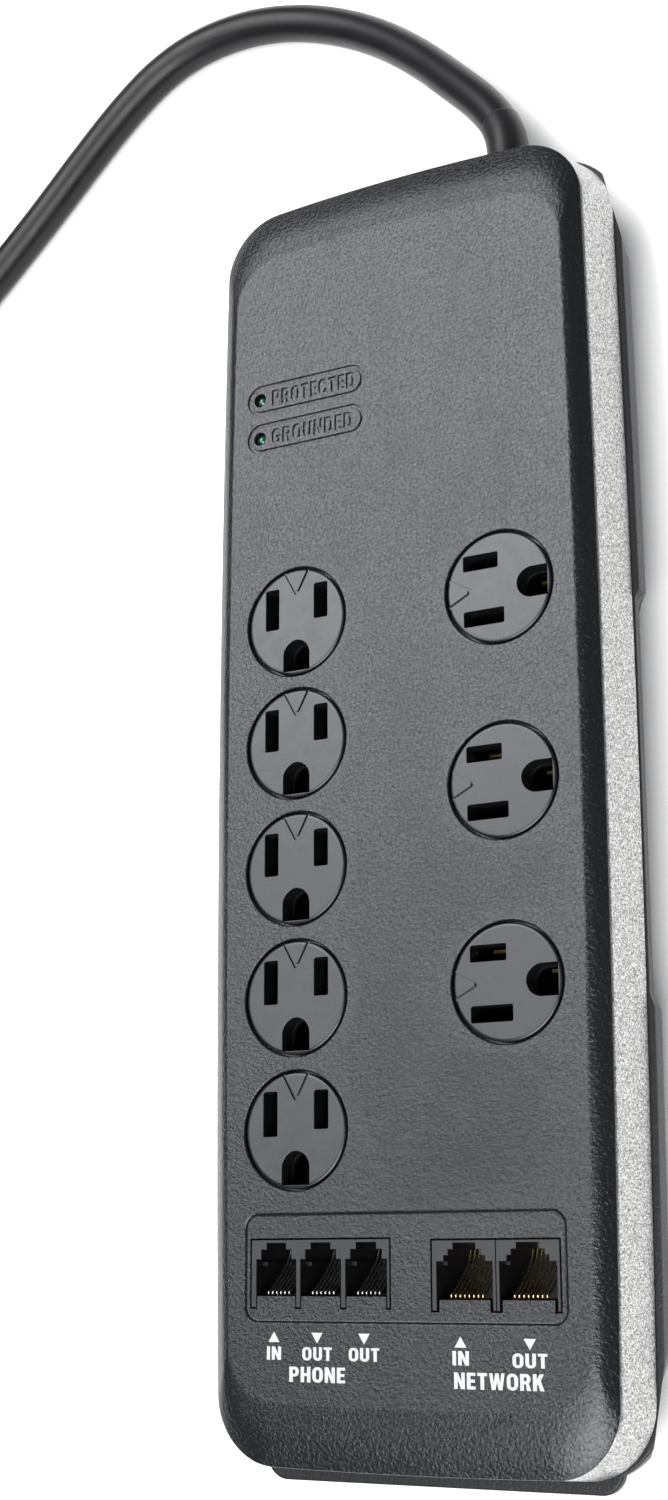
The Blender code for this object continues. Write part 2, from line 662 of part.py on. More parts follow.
for name, block, centres, width, y_top, y_bottom, steps in (
        ("phone_jack_block", PHONE_BLOCK, PHONE_X, PHONE_W, -98.7, -110.2, ((4.7, 1.4), (7.4, 2.0))),
        ("network_jack_block", NETWORK_BLOCK, NETWORK_X, NETWORK_W, -99.0, -110.5,
         ((5.0, 1.3), (7.3, 1.2), (9.3, 1.2)))):
    bm = bmesh.new()
    add_box(bm, (block[0], block[1], 10.9), (block[2], block[3], JACK_FACE_Z))
    obj = from_bmesh(name, bm, parts)
    bm = bmesh.new()
    for cx in centres:
        add_prism(bm, jack_outline(cx, width, y_top, y_bottom, steps), JACK_FLOOR_Z, 40.0)
    boolean(obj, from_bmesh(name + "_openings", bm, cutters))
    settle(obj)
    own_material(obj, "jack")


def contact_comb(name, cx, tines):
    """Sprung contact wires on one strip, sloping from the front to the back."""
    pitch, width, long = 1.02, 0.46, 10.5
    half = (tines - 1) * pitch / 2 + width / 2
    points = [(-half, 0.0), (half, 0.0)]
    for i in reversed(range(tines)):
        x = (i - (tines - 1) / 2) * pitch
        points += [(x + width / 2, 0.9 if i < tines - 1 else 0.0)] if i < tines - 1 else []
        points += [(x + width / 2, long), (x - width / 2, long)]
        if i:
            points += [(x - width / 2, 0.9)]
    low, high = Vector((cx, -108.0, 18.2)), Vector((cx, -109.7, 28.6))
    along = (high - low).normalized()
    matrix = Matrix.Identity(4)
    matrix.col[0][:3] = (1, 0, 0)
    matrix.col[1][:3] = along
    matrix.col[2][:3] = Vector((1, 0, 0)).cross(along)
    matrix.translation = low * MM
    obj = plate(name, points, 0.36, matrix)
    own_material(obj, "contact")


for i, cx in enumerate(PHONE_X):
    contact_comb(f"phone_contacts_{i + 1}", cx, 6)
for i, cx in enumerate(NETWORK_X):
    contact_comb(f"network_contacts_{i + 1}", cx, 8)

# =============================================================== rocker switch and breaker
bm = bmesh.new()
add_box(bm, (SWITCH_X - 10.7, 124.0, SWITCH_Z - 7.4), (SWITCH_X + 10.7, 147.6, SWITCH_Z + 7.4))
obj = from_bmesh("switch_body", bm, parts)
bm = bmesh.new()
add_box(bm, (SWITCH_X - 9.4, 138.6, SWITCH_Z - 5.9), (SWITCH_X + 9.4, 150.0, SWITCH_Z + 5.9))
boolean(obj, from_bmesh("switch_pocket", bm, cutters))
settle(obj)
own_material(obj, "rocker")

bm = bmesh.new()
profile = [(-8.6, 2.2), (-8.6, -2.2), (8.6, -2.2), (8.6, 2.2), (4.3, 1.0), (0.0, 0.5), (-4.3, 1.0)]
add_prism(bm, profile, -5.5, 5.5)
bmesh.ops.rotate(bm, cent=(0, 0, 0), verts=bm.verts,
                 matrix=Matrix.Rotation(math.radians(ROCKER_TILT), 3, "Z"))
rocker = from_bmesh("switch_rocker", bm, parts)
rocker.location = Vector((SWITCH_X, ROCKER_Y, SWITCH_Z)) * MM
own_material(rocker, "rocker")

# =============================================================== screws and feet
for i, (x, y) in enumerate(SCREWS):
    obj = turned(f"case_screw_{i + 1}", [(0, 15.6), (0.6, 15.6), (1.4, 14.2), (1.4, 3.75), (3.0, 3.75),
                                         (3.0, 2.9), (2.4, 2.3), (0, 2.3)], 12)
    obj.location = Vector((x, y, 0)) * MM
    own_material(settle(obj), "steel")
for i, (x, y) in enumerate(FEET):
    obj = turned(f"rubber_foot_{i + 1}", [(0, 2.1), (6.0, 2.1), (6.0, 0.4), (5.6, 0.0), (0, 0.0)], 24)
    obj.location = Vector((x, y, 0)) * MM
    own_material(settle(obj), "rubber")

# =============================================================== cord
full = spline_points(CORD_ROUTE, 1.0)
steps = np.linalg.norm(np.diff(full, axis=0), axis=1)
along = np.r_[0, np.cumsum(steps)]


def cut_route(start, end, spacing):
    """Even points on the route between two distances along it."""
    count = max(2, int(round((end - start) / spacing)) + 1)
    return np.array([[np.interp(s, along, full[:, k]) for k in range(3)]
                     for s in np.linspace(start, end, count)])


BOOT_OUT = 13.0          # length of the strain relief outside the end panel
# strain relief: a flange inside the end panel, a neck in its hole, a tapered boot outside
inner = [(GLAND_X, y, GLAND_Z) for y in (131.0, 142.3, 142.5, 144.8, 145.0, 147.5)]
outer = np.vstack([cut_route(0.5, BOOT_OUT - 1.0, 2.5), cut_route(BOOT_OUT - 0.05, BOOT_OUT, 1.0)[1:]])
points = inner + [tuple(p) for p in outer]
radii = [4.6, 4.6, 6.5, 6.5, 5.4, 5.4] + list(np.linspace(6.2, 5.1, len(outer)))
relief = tube("strain_relief", points, 2.0, radii, 3)
relief = settle(relief)
own_material(relief, "cord")
smooth(relief, 50)

# the straight run ends where it meets the coil's outer turn
run_end = len(full) - 1
while np.hypot(full[run_end, 0] - COIL_X, full[run_end, 1] - COIL_Y) < COIL_R_OUT + CORD_D + 0.9:
    run_end -= 1
run = np.vstack([cut_route(BOOT_OUT + GAP + 0.1, BOOT_OUT + 1.4, 1.2)[:1],
                 cut_route(BOOT_OUT + 1.6, along[run_end], 12.0)])
obj = settle(tube("cord_run", run, CORD_D, None, 2))
own_material(obj, "cord")
smooth(obj, 60)

r_in, r_out = COIL_R_IN - CORD_D / 2, COIL_R_OUT + CORD_D / 2 + 0.2
z0, z1, c = COIL_Z0, COIL_Z0 + COIL_H, 3.0
obj = turned("cord_coil", [(r_in, z0 + c), (r_in, z1 - c), (r_in + c, z1), (r_out - c, z1), (r_out, z1 - c),
                           (r_out, z0 + c), (r_out - c, z0), (r_in + c, z0), (r_in, z0 + c)], 30)
obj.location = Vector((COIL_X, COIL_Y, 0)) * MM
obj = settle(obj)
own_material(obj, "cord")
smooth(obj, 50)

LEAD_X = COIL_X + COIL_R_OUT
LEAD_START = COIL_Y - 44.0
BOOT_TIP = COIL_Y - 74.0
PLUG_Z = 12.9
lead = spline_points(((LEAD_X, LEAD_START, 15.4), (LEAD_X, (LEAD_START + BOOT_TIP) / 2, 14.4),
                      (LEAD_X, BOOT_TIP + 6.0, PLUG_Z + 0.1),
                      (LEAD_X, BOOT_TIP + GAP, PLUG_Z)), 6.0)
obj = settle(tube("cord_lead", lead, CORD_D, None, 2))
own_material(obj, "cord")
smooth(obj, 60)

# tie: a strap round the coil's section
angle = math.radians(150)
mid_r = (r_in + r_out) / 2
half_r, half_z = (r_out - r_in) / 2, COIL_H / 2
bm = bmesh.new()
add_prism(bm, rounded_rect(-half_r - 1.1, -half_z - 1.1, half_r + 1.1, half_z + 1.1, 2.6, 4), -4.0, 4.0)
obj = from_bmesh("cord_tie", bm, parts)
bm = bmesh.new()
add_prism(bm, rounded_rect(-half_r - 0.35, -half_z - 0.35, half_r + 0.35, half_z + 0.35, 1.9, 4), -6.0, 6.0)
boolean(obj, from_bmesh("tie_inside", bm, cutters))
obj = settle(obj)
out, up = Vector((math.cos(angle), math.sin(angle), 0)), Vector((0, 0, 1))
matrix = Matrix.Identity(4)
matrix.col[0][:3] = out
matrix.col[1][:3] = up
matrix.col[2][:3] = out.cross(up)
matrix.translation = (Vector((COIL_X, COIL_Y, z0 + half_z)) + out * mid_r) * MM
obj.matrix_world = matrix
own_material(obj, "rubber")

# =============================================================== plug
PLUG_BODY_Y = BOOT_TIP - 22.0
PLUG_FACE_Y = PLUG_BODY_Y - 33.0


def plug_section(y, half_x, half_z, r, shift=0.0):
    return [(LEAD_X + shift + x, y, PLUG_Z + z)
            for x, z in rounded_rect(-half_x, -half_z, half_x, half_z, r, 4)]


bm = bmesh.new()
rings = [[bm.verts.new(Vector(p) * MM) for p in section] for section in (
    plug_section(BOOT_TIP, 5.2, 5.2, 5.0),
    plug_section(PLUG_BODY_Y + 2.0, 7.0, 7.0, 6.6),
    plug_section(PLUG_BODY_Y - 2.0, 9.0, 9.0, 7.5),
    plug_section(PLUG_BODY_Y - 8.0, 12.4, 11.6, 6.0),
    plug_section(PLUG_BODY_Y - 19.0, 13.2, 12.3, 5.5),
    plug_section(PLUG_FACE_Y + 1.2, 13.4, 12.5, 5.0),
    plug_section(PLUG_FACE_Y, 12.6, 11.7, 4.4),
)]
bm.faces.new(rings[0])
bm.faces.new(rings[-1])
for a, b in zip(rings, rings[1:]):
    for i in range(len(a)):
        bm.faces.new((a[i], a[(i + 1) % len(a)], b[(i + 1) % len(b)], b[i]))
obj = from_bmesh("plug_body", bm, parts)
own_material(obj, "cord")
smooth(obj, 40)

BLADE_X = LEAD_X + 4.0
for name, dz, wide in (("plug_blade_line", 6.35, 6.3), ("plug_blade_neutral", -6.35, 7.9)):
    bm = bmesh.new()
    outline = [(-wide / 2, 0), (wide / 2, 0), (wide / 2, 15.5), (wide / 2 - 1.4, 17.2),
               (-wide / 2 + 1.4, 17.2), (-wide / 2, 15.5)]
    add_prism(bm, outline, -0.76, 0.76)
    obj = from_bmesh(name, bm, parts)
    obj.location = Vector((BLADE_X, PLUG_FACE_Y - GAP, PLUG_Z + dz)) * MM
    obj.rotation_euler = (0, 0, math.radians(180))
    own_material(obj, "nickel")
pin = [(2.38 * math.cos(math.radians(a)), 18.6 + 2.38 * math.sin(math.radians(a)))
       for a in (90, 60, 30, 0)]
obj = turned("plug_ground_pin", [(0.0, pin[0][1])] + pin[1:] + [(2.38, 0.0), (0, 0.0)], 16)
obj.location = Vector((BLADE_X - 11.9, PLUG_FACE_Y - GAP, PLUG_Z)) * MM
obj.rotation_euler = (math.radians(90), 0, 0)
obj = settle(obj)
own_material(obj, "nickel")
smooth(obj, 40)
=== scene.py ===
"""Finished looks of the surge protector strip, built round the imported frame."""
import json
import math

import bmesh
import bpy
import numpy as np
from mathutils import Matrix, Vector

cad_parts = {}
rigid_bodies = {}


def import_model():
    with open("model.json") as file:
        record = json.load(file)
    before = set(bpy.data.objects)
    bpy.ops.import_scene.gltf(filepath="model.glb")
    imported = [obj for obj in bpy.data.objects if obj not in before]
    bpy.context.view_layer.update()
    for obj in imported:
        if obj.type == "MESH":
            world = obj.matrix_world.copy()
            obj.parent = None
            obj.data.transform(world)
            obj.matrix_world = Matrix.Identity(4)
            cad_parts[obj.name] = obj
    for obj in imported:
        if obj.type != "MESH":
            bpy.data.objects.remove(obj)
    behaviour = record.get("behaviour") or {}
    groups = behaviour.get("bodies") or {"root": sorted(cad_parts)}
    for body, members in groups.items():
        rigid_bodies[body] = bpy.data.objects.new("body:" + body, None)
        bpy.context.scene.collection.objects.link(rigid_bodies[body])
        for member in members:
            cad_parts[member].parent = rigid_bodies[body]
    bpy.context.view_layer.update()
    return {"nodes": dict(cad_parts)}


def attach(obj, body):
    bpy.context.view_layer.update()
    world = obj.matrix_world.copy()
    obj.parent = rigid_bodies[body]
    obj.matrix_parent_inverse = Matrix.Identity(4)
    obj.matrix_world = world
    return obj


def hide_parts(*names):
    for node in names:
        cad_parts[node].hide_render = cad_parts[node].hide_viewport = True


for leftover in list(bpy.data.objects):
    bpy.data.objects.remove(leftover)
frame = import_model()
MM = 0.001

scene = bpy.context.scene
pieces = bpy.data.collections.new("finished_pieces")
scene.collection.children.link(pieces)
tools = bpy.data.collections.new("tools")
scene.collection.children.link(tools)

# ------------------------------------------------------------------ camera
camera_data = bpy.data.cameras.new("camera")
camera_data.sensor_fit = "AUTO"
camera_data.sensor_width = 36.0
camera_data.lens = 51.03
camera_data.clip_start = 0.01
camera_data.clip_end = 20.0
camera = bpy.data.objects.new("camera", camera_data)
right = Vector((0.86883, -0.00253, -0.49510)).normalized()
back = Vector((0.48043, -0.23738, 0.84430)).normalized()
up = back.cross(right).normalized()
right = up.cross(back).normalized()
matrix = Matrix.Identity(4)
matrix.col[0][:3], matrix.col[1][:3], matrix.col[2][:3] = right, up, back
matrix.translation = Vector((211.23, -104.22, 430.52)) * MM
camera.matrix_world = matrix
scene.collection.objects.link(camera)
scene.camera = camera


# ------------------------------------------------------------------ material helpers
class Nodes:
    """Small helper round a material's node tree."""

    def __init__(self, name, colour=(0.5, 0.5, 0.5), roughness=0.5, metallic=0.0, **more):
        self.mat = bpy.data.materials.new(name)
        self.mat.use_nodes = True
        self.tree = self.mat.node_tree
        self.shader = self.tree.nodes["Principled BSDF"]
        self.shader.inputs["Base Color"].default_value = (*colour, 1)
        self.shader.inputs["Roughness"].default_value = roughness
        self.shader.inputs["Metallic"].default_value = metallic
        for key, value in more.items():
            self.shader.inputs[key.replace("_", " ")].default_value = value
        self.mat.diffuse_color = (*colour, 1)
        self.coords = self.add("ShaderNodeTexCoord")

    def add(self, kind, **props):
        node = self.tree.nodes.new(kind)
        for key, value in props.items():
            setattr(node, key, value)
        return node

    def link(self, a, b):
        self.tree.links.new(a, b)

    def noise(self, scale, detail=3.0, rough=0.55, distortion=0.0, stretch=None):
        node = self.add("ShaderNodeTexNoise")
        node.inputs["Scale"].default_value = scale
        node.inputs["Detail"].default_value = detail
        node.inputs["Roughness"].default_value = rough
        node.inputs["Distortion"].default_value = distortion
        if stretch:
            mapping = self.add("ShaderNodeMapping")
            mapping.inputs["Scale"].default_value = stretch
            self.link(self.coords.outputs["Object"], mapping.inputs["Vector"])
            self.link(mapping.outputs["Vector"], node.inputs["Vector"])
        else:
            self.link(self.coords.outputs["Object"], node.inputs["Vector"])
        return node.outputs["Fac"]

    def voronoi(self, scale, feature="F1", smooth=0.5):
        node = self.add("ShaderNodeTexVoronoi", feature=feature)
        node.inputs["Scale"].default_value = scale
        if "Smoothness" in node.inputs:
            node.inputs["Smoothness"].default_value = smooth
        self.link(self.coords.outputs["Object"], node.inputs["Vector"])
        return node.outputs["Distance"]

    def ramp(self, value, stops):
        node = self.add("ShaderNodeValToRGB")
        while len(node.color_ramp.elements) < len(stops):
            node.color_ramp.elements.new(0.5)
        for element, (place, colour) in zip(node.color_ramp.elements, stops):
            element.position = place
            element.color = (*colour, 1) if len(colour) == 3 else colour
        self.link(value, node.inputs["Fac"])
        return node.outputs["Color"]

    def map(self, value, low, high, from_low=0.3, from_high=0.7):
        node = self.add("ShaderNodeMapRange")
        node.inputs["From Min"].default_value = from_low
        node.inputs["From Max"].default_value = from_high
        node.inputs["To Min"].default_value = low
        node.inputs["To Max"].default_value = high
        self.link(value, node.inputs["Value"])
        return node.outputs["Result"]

    def math(self, operation, a, b=None):
        node = self.add("ShaderNodeMath", operation=operation)
        for socket, value in zip(node.inputs, (a, b)):
            if value is None:
                continue
            if isinstance(value, (int, float)):
                socket.default_value = value
            else:
                self.link(value, socket)
        return node.outputs[0]

    def bump(self, height, distance, strength=1.0, onto=None):
        node = self.add("ShaderNodeBump")
        node.inputs["Distance"].default_value = distance
        node.inputs["Strength"].default_value = strength
        self.link(height, node.inputs["Height"])
        if onto is not None:
            self.link(onto, node.inputs["Normal"])
        self.link(node.outputs["Normal"], self.shader.inputs["Normal"])
        return node.outputs["Normal"]

    def colour(self, socket):
        self.link(socket, self.shader.inputs["Base Color"])

    def roughness(self, socket):
        self.link(socket, self.shader.inputs["Roughness"])


GLOSS = {"Specular_IOR_Level": 0.45, "Specular_Tint": (0.93, 0.96, 1.0, 1)}


def grained_plastic(name, colour, rough=(0.2, 0.27), grain=0.00014, cell=1400.0, spread=0.18, wear=True):
    """Moulded plastic with a leather-like tool grain and slight handling marks."""
    n = Nodes(name, colour, sum(rough) / 2, **GLOSS)
    wrinkle = n.noise(cell, 2.5, 0.6, 0.9)
    fine = n.noise(cell * 3.1, 2.0, 0.5)
    creases = n.voronoi(cell * 0.9, "SMOOTH_F1", 0.6)
    height = n.math("ADD", n.math("MULTIPLY", wrinkle, 1.0), n.math("MULTIPLY", creases, 0.35))
    height = n.math("ADD", height, n.math("MULTIPLY", fine, 0.18))
    n.bump(height, grain, 1.0)
    cloud = n.noise(14.0, 3.0, 0.6)
    dark = tuple(c * (1 - spread) for c in colour)
    light = tuple(c * (1 + spread) for c in colour)
    n.colour(n.ramp(n.math("ADD", n.math("MULTIPLY", cloud, 0.6), n.math("MULTIPLY", wrinkle, 0.4)),
                    [(0.32, dark), (0.68, light)]))
    smear = n.noise(38.0, 4.0, 0.65, 1.2, (1.0, 0.35, 1.0)) if wear else cloud
    n.roughness(n.map(smear, rough[0], rough[1]))
    return n.mat


def smooth_plastic(name, colour, rough=(0.3, 0.4), spread=0.12, bump=0.000012):
    """Fine satin plastic: almost smooth, with faint flow marks."""
    n = Nodes(name, colour, sum(rough) / 2, **GLOSS)
    cloud = n.noise(90.0, 4.0, 0.6, 0.4)
    n.colour(n.ramp(cloud, [(0.3, tuple(c * (1 - spread) for c in colour)),
                            (0.7, tuple(c * (1 + spread) for c in colour))]))
    n.roughness(n.map(n.noise(260.0, 3.0, 0.6), rough[0], rough[1]))
    n.bump(n.noise(2600.0, 2.0, 0.5), bump, 0.7)
    return n.mat


def silver_paint(name):
    """Metallic paint: aluminium flake under a satin coat, over a fine texture."""
    n = Nodes(name, (0.6, 0.6, 0.59), 0.34, 0.82, Coat_Weight=0.15, Coat_Roughness=0.3)
    flake = n.noise(3000.0, 2.0, 0.7)
    grit = n.noise(1900.0, 3.0, 0.65, 0.5)
    n.colour(n.ramp(n.math("ADD", n.math("MULTIPLY", flake, 0.5), n.math("MULTIPLY", grit, 0.5)),
                    [(0.40, (0.11, 0.11, 0.108)), (0.5, (0.32, 0.32, 0.315)), (0.6, (0.62, 0.62, 0.61))]))
    n.roughness(n.map(n.noise(1700.0, 2.0, 0.6), 0.28, 0.5))
    n.bump(grit, 0.00009, 1.0)
    return n.mat


def metal(name, colour, rough=(0.2, 0.35), scale=(1.0, 1.0, 1.0), bump=0.000008):
    n = Nodes(name, colour, sum(rough) / 2, 1.0)
    streak = n.noise(700.0, 3.0, 0.6, 0.0, scale)
    n.colour(n.ramp(n.noise(120.0, 3.0, 0.6), [(0.3, tuple(c * 0.86 for c in colour)), (0.7, colour)]))
    n.roughness(n.map(streak, rough[0], rough[1]))
    n.bump(streak, bump, 0.6)
    return n.mat


def rubber(name, colour=(0.018, 0.018, 0.019), rough=(0.4, 0.52), grain=0.00002, scale=1800.0):
    n = Nodes(name, colour, sum(rough) / 2, Specular_IOR_Level=0.26)
    n.colour(n.ramp(n.noise(60.0, 3.0, 0.6), [(0.3, tuple(c * 0.8 for c in colour)), (0.7, tuple(c * 1.25 for c in colour))]))
    n.roughness(n.map(n.noise(150.0, 4.0, 0.6), rough[0], rough[1]))
    n.bump(n.noise(scale, 2.0, 0.5), grain, 0.8)
    return n.mat


def board_green(name):
    n = Nodes(name, (0.03, 0.16, 0.07), 0.35)
    traces = n.add("ShaderNodeTexBrick")
    traces.inputs["Scale"].default_value = 160.0
    traces.inputs["Mortar Size"].default_value = 0.03
    traces.inputs["Color1"].default_value = (0.025, 0.15, 0.06, 1)
    traces.inputs["Color2"].default_value = (0.035, 0.18, 0.075, 1)
    traces.inputs["Mortar"].default_value = (0.06, 0.26, 0.10, 1)
    n.link(n.coords.outputs["Object"], traces.inputs["Vector"])
    n.colour(traces.outputs["Color"])
    n.roughness(n.map(n.noise(400.0, 2.0, 0.5), 0.3, 0.45))
    n.bump(traces.outputs["Fac"], 0.00003, 0.5)
    return n.mat


def print_ink(name, colour, rough=0.5):
    n = Nodes(name, colour, rough)
    n.colour(n.ramp(n.noise(1500.0, 2.0, 0.6), [(0.3, tuple(c * 0.9 for c in colour)), (0.7, colour)]))
    n.roughness(n.map(n.noise(900.0, 2.0, 0.5), rough - 0.08, rough + 0.08))
    n.bump(n.noise(1000.0, 2.5, 0.6, 0.9), 0.00003, 0.6)
    return n.mat


M_COVER = grained_plastic("cover_plastic", (0.0045, 0.0046, 0.0053))
M_BASE = grained_plastic("base_plastic", (0.011, 0.011, 0.012), (0.3, 0.4), 0.00012, 1500.0)
M_RIM = silver_paint("rim_silver_paint")
M_DISC = smooth_plastic("disc_plastic", (0.0065, 0.0068, 0.0078), (0.24, 0.3))
M_JACK = smooth_plastic("jack_plastic", (0.005, 0.005, 0.0056), (0.32, 0.4))
M_SOCKET = smooth_plastic("socket_plastic", (0.004, 0.004, 0.0042), (0.5, 0.65))
M_BRASS = metal("bus_brass", (0.20, 0.14, 0.065), (0.45, 0.6), (1, 8, 1))
M_GOLD = metal("contact_gold", (0.86, 0.66, 0.34), (0.18, 0.3), (1, 1, 8))
M_PALE_CONTACT = metal("contact_nickel", (0.62, 0.62, 0.6), (0.2, 0.34), (1, 1, 8))
M_NICKEL = metal("blade_nickel", (0.72, 0.70, 0.66), (0.18, 0.32), (1, 6, 1))
M_STEEL = metal("screw_steel", (0.58, 0.58, 0.6), (0.25, 0.4))
M_RUBBER = rubber("foot_rubber", (0.02, 0.02, 0.021), (0.7, 0.85), 0.00005, 900.0)
M_CORD = rubber("cord_jacket", (0.004, 0.004, 0.0048), (0.33, 0.42), 0.000008, 1500.0)
M_PLUG = rubber("plug_vinyl", (0.0065, 0.0065, 0.0072), (0.38, 0.48), 0.000015, 1400.0)
M_TIE = rubber("tie_strap", (0.02, 0.02, 0.022), (0.6, 0.75), 0.00008, 1600.0)
M_ROCKER = smooth_plastic("rocker_plastic", (0.02, 0.02, 0.022), (0.18, 0.28))
M_BOARD = board_green("circuit_board")
M_MOV = smooth_plastic("varistor_coating", (0.03, 0.09, 0.36), (0.25, 0.4), 0.15, 0.00004)
M_CHOKE = metal("choke_copper", (0.6, 0.3, 0.12), (0.25, 0.4), (1, 1, 6), 0.00006)
M_FUSE = metal("fuse_case", (0.6, 0.6, 0.62), (0.25, 0.35))
M_INK = print_ink("white_legend_ink", (0.40, 0.40, 0.42))
M_ENGRAVED = smooth_plastic("engraved_line", (0.012, 0.012, 0.013), (0.5, 0.6))


def led_material():
    n = Nodes("led_lens", (0.012, 0.10, 0.055), 0.08, 0.0, Coat_Weight=0.6, Coat_Roughness=0.05)
    glow = n.noise(900.0, 2.0, 0.5)
    n.colour(n.ramp(glow, [(0.35, (0.002, 0.022, 0.012)), (0.65, (0.006, 0.055, 0.028))]))
    n.roughness(n.map(glow, 0.06, 0.14))
    n.bump(glow, 0.00001, 0.4)
    return n.mat


M_LED = led_material()


M_SOCKET.node_tree.nodes["Principled BSDF"].inputs["Specular IOR Level"].default_value = 0.1
M_BASE.node_tree.nodes["Principled BSDF"].inputs["Specular IOR Level"].default_value = 0.24


def give(obj, mat):
    obj.data.materials.clear()
    obj.data.materials.append(mat)


# ------------------------------------------------------------------ shape helpers
def obj_from(name, bm, mat=None, collection=pieces, angle=35):
    bmesh.ops.recalc_face_normals(bm, faces=bm.faces)
    mesh = bpy.data.meshes.new(name)
    bm.to_mesh(mesh)
    bm.free()
    obj = bpy.data.objects.new(name, mesh)
    collection.objects.link(obj)
    if mat:
        give(obj, mat)
    if collection is tools:
        obj.hide_render = True
    elif angle:
        mesh.shade_smooth()
        mesh.set_sharp_from_angle(angle=math.radians(angle))
    return obj


def rings_to_faces(bm, rings, caps=True, loop=False):
    if caps and not loop:
        bm.faces.new(rings[0])
        bm.faces.new(rings[-1])
    pairs = list(zip(rings, rings[1:]))
    if loop:
        pairs.append((rings[-1], rings[0]))
    for a, b in pairs:
        n = len(a)
        for i in range(n):
            bm.faces.new((a[i], a[(i + 1) % n], b[(i + 1) % n], b[i]))


def casing_outline(half_w, half_l, r, corner=16, side=28, end=14):
    """The same bowed rounded rectangle as the frame's casing."""
    corners = ((half_w - r, half_l - r, 0), (-half_w + r, half_l - r, 90),
               (-half_w + r, -half_l + r, 180), (half_w - r, -half_l + r, 270))
    points = []
    for k, (cx, cy, start) in enumerate(corners):
        for i in range(corner + 1):
            a = math.radians(start + 90 * i / corner)
            points.append((cx + r * math.cos(a), cy + r * math.sin(a)))
        nx, ny, nstart = corners[(k + 1) % 4]
        a = math.radians(nstart)
        x0, y0 = points[-1]
        x1, y1 = nx + r * math.cos(a), ny + r * math.sin(a)
        steps = end if k % 2 == 0 else side
        for i in range(1, steps):
            points.append((x0 + (x1 - x0) * i / steps, y0 + (y1 - y0) * i / steps))
    out = []
    for x, y in points:
        bow = 2.0 if y > 0 else 0.8
        u, v = x / half_w, y / half_l
        out.append((x - math.copysign(1.6 * v * v * abs(u), x), y - math.copysign(bow * u * u * abs(v), y)))
    return out


def casing_loft(bm, sections, loop=False):
    rings = [[bm.verts.new(Vector((x, y, z)) * MM) for x, y in casing_outline(w, l, r)]
             for w, l, r, z in sections]
    rings_to_faces(bm, rings, loop=loop)


def rounded_rect(x0, y0, x1, y1, r, segments=6):
    points = []
    for cx, cy, start in ((x1 - r, y1 - r, 0), (x0 + r, y1 - r, 90), (x0 + r, y0 + r, 180), (x1 - r, y0 + r, 270)):
        for i in range(segments + 1):
            a = math.radians(start + 90 * i / segments)
            points.append((cx + r * math.cos(a), cy + r * math.sin(a)))
    return points


def circle(x, y, r, segments=64):
    return [(x + r * math.cos(2 * math.pi * i / segments), y + r * math.sin(2 * math.pi * i / segments))
            for i in range(segments)]


def grown(outline, distance):
    """The outline moved outwards by a distance, corner by corner."""
    n = len(outline)
    area = sum(outline[i][0] * outline[(i + 1) % n][1] - outline[(i + 1) % n][0] * outline[i][1] for i in range(n))
    sign = 1 if area > 0 else -1
    out = []
    for i in range(n):
        p, q, s = Vector(outline[i - 1]), Vector(outline[i]), Vector(outline[(i + 1) % n])
        a, b = (q - p).normalized(), (s - q).normalized()
        na, nb = Vector((a.y, -a.x)) * sign, Vector((b.y, -b.x)) * sign
        m = (na + nb)
        if m.length < 1e-6:
            m = na
        m.normalize()
        k = max(0.5, m.dot(na))
        out.append(tuple(q + m * distance / k))
    return out


def stack(bm, outline, levels):
    """A prism of the outline whose width changes with height: levels are (z, growth)."""
    rings = [[bm.verts.new(Vector((x, y, z)) * MM) for x, y in (grown(outline, g) if g else outline)]
             for z, g in levels]
    rings_to_faces(bm, rings)


def cut(obj, tool, operation="DIFFERENCE"):
    modifier = obj.modifiers.new(tool.name, "BOOLEAN")
    modifier.operation = operation
    modifier.solver = "EXACT"
    modifier.object = tool


def settle(obj, angle=35):
    bpy.context.view_layer.update()
    graph = bpy.context.evaluated_depsgraph_get()
    mesh = bpy.data.meshes.new_from_object(obj.evaluated_get(graph))
    bm = bmesh.new()
    bm.from_mesh(mesh)
    bmesh.ops.remove_doubles(bm, verts=bm.verts, dist=2e-6)
    bmesh.ops.dissolve_degenerate(bm, edges=bm.edges, dist=1e-6)
    bm.to_mesh(mesh)
    bm.free()
    obj.modifiers.clear()
    obj.data = mesh
    if angle:
        mesh.shade_smooth()
        mesh.set_sharp_from_angle(angle=math.radians(angle))
        for face in mesh.polygons:
            if face.area > 2e-4 and abs(face.normal.z) > 0.9999:
                face.use_smooth = False
        even = obj.modifiers.new("even", "WEIGHTED_NORMAL")
        even.keep_sharp = True
        even.weight = 90
        bpy.context.view_layer.update()
        graph = bpy.context.evaluated_depsgraph_get()
        mesh = bpy.data.meshes.new_from_object(obj.evaluated_get(graph))
        obj.modifiers.clear()
        obj.data = mesh
    return obj


def turned(name, profile, mat, steps=48, angle=40, where=(0, 0, 0), turn=None, collection=pieces):
    """Solid of revolution about Z; the profile runs from the top axis down the outside."""
    bm = bmesh.new()
    rings = []
    for r, z in profile:
        if r < 1e-6:
            rings.append([bm.verts.new(Vector((0, 0, z)) * MM)])
        else:
            rings.append([bm.verts.new(Vector((r * math.cos(2 * math.pi * i / steps),
                                               r * math.sin(2 * math.pi * i / steps), z)) * MM)
                          for i in range(steps)])
    for a, b in zip(rings, rings[1:]):
        for i in range(steps):
            j = (i + 1) % steps
            face = [a[i % len(a)], a[j % len(a)], b[j % len(b)], b[i % len(b)]]
            face = list(dict.fromkeys(face))
            if len(face) > 2:
                bm.faces.new(face)
    place = Matrix.Translation(Vector(where) * MM)
    if turn is not None:
        place = place @ turn
    bmesh.ops.transform(bm, matrix=place, verts=bm.verts)
    return obj_from(name, bm, mat, collection, angle)


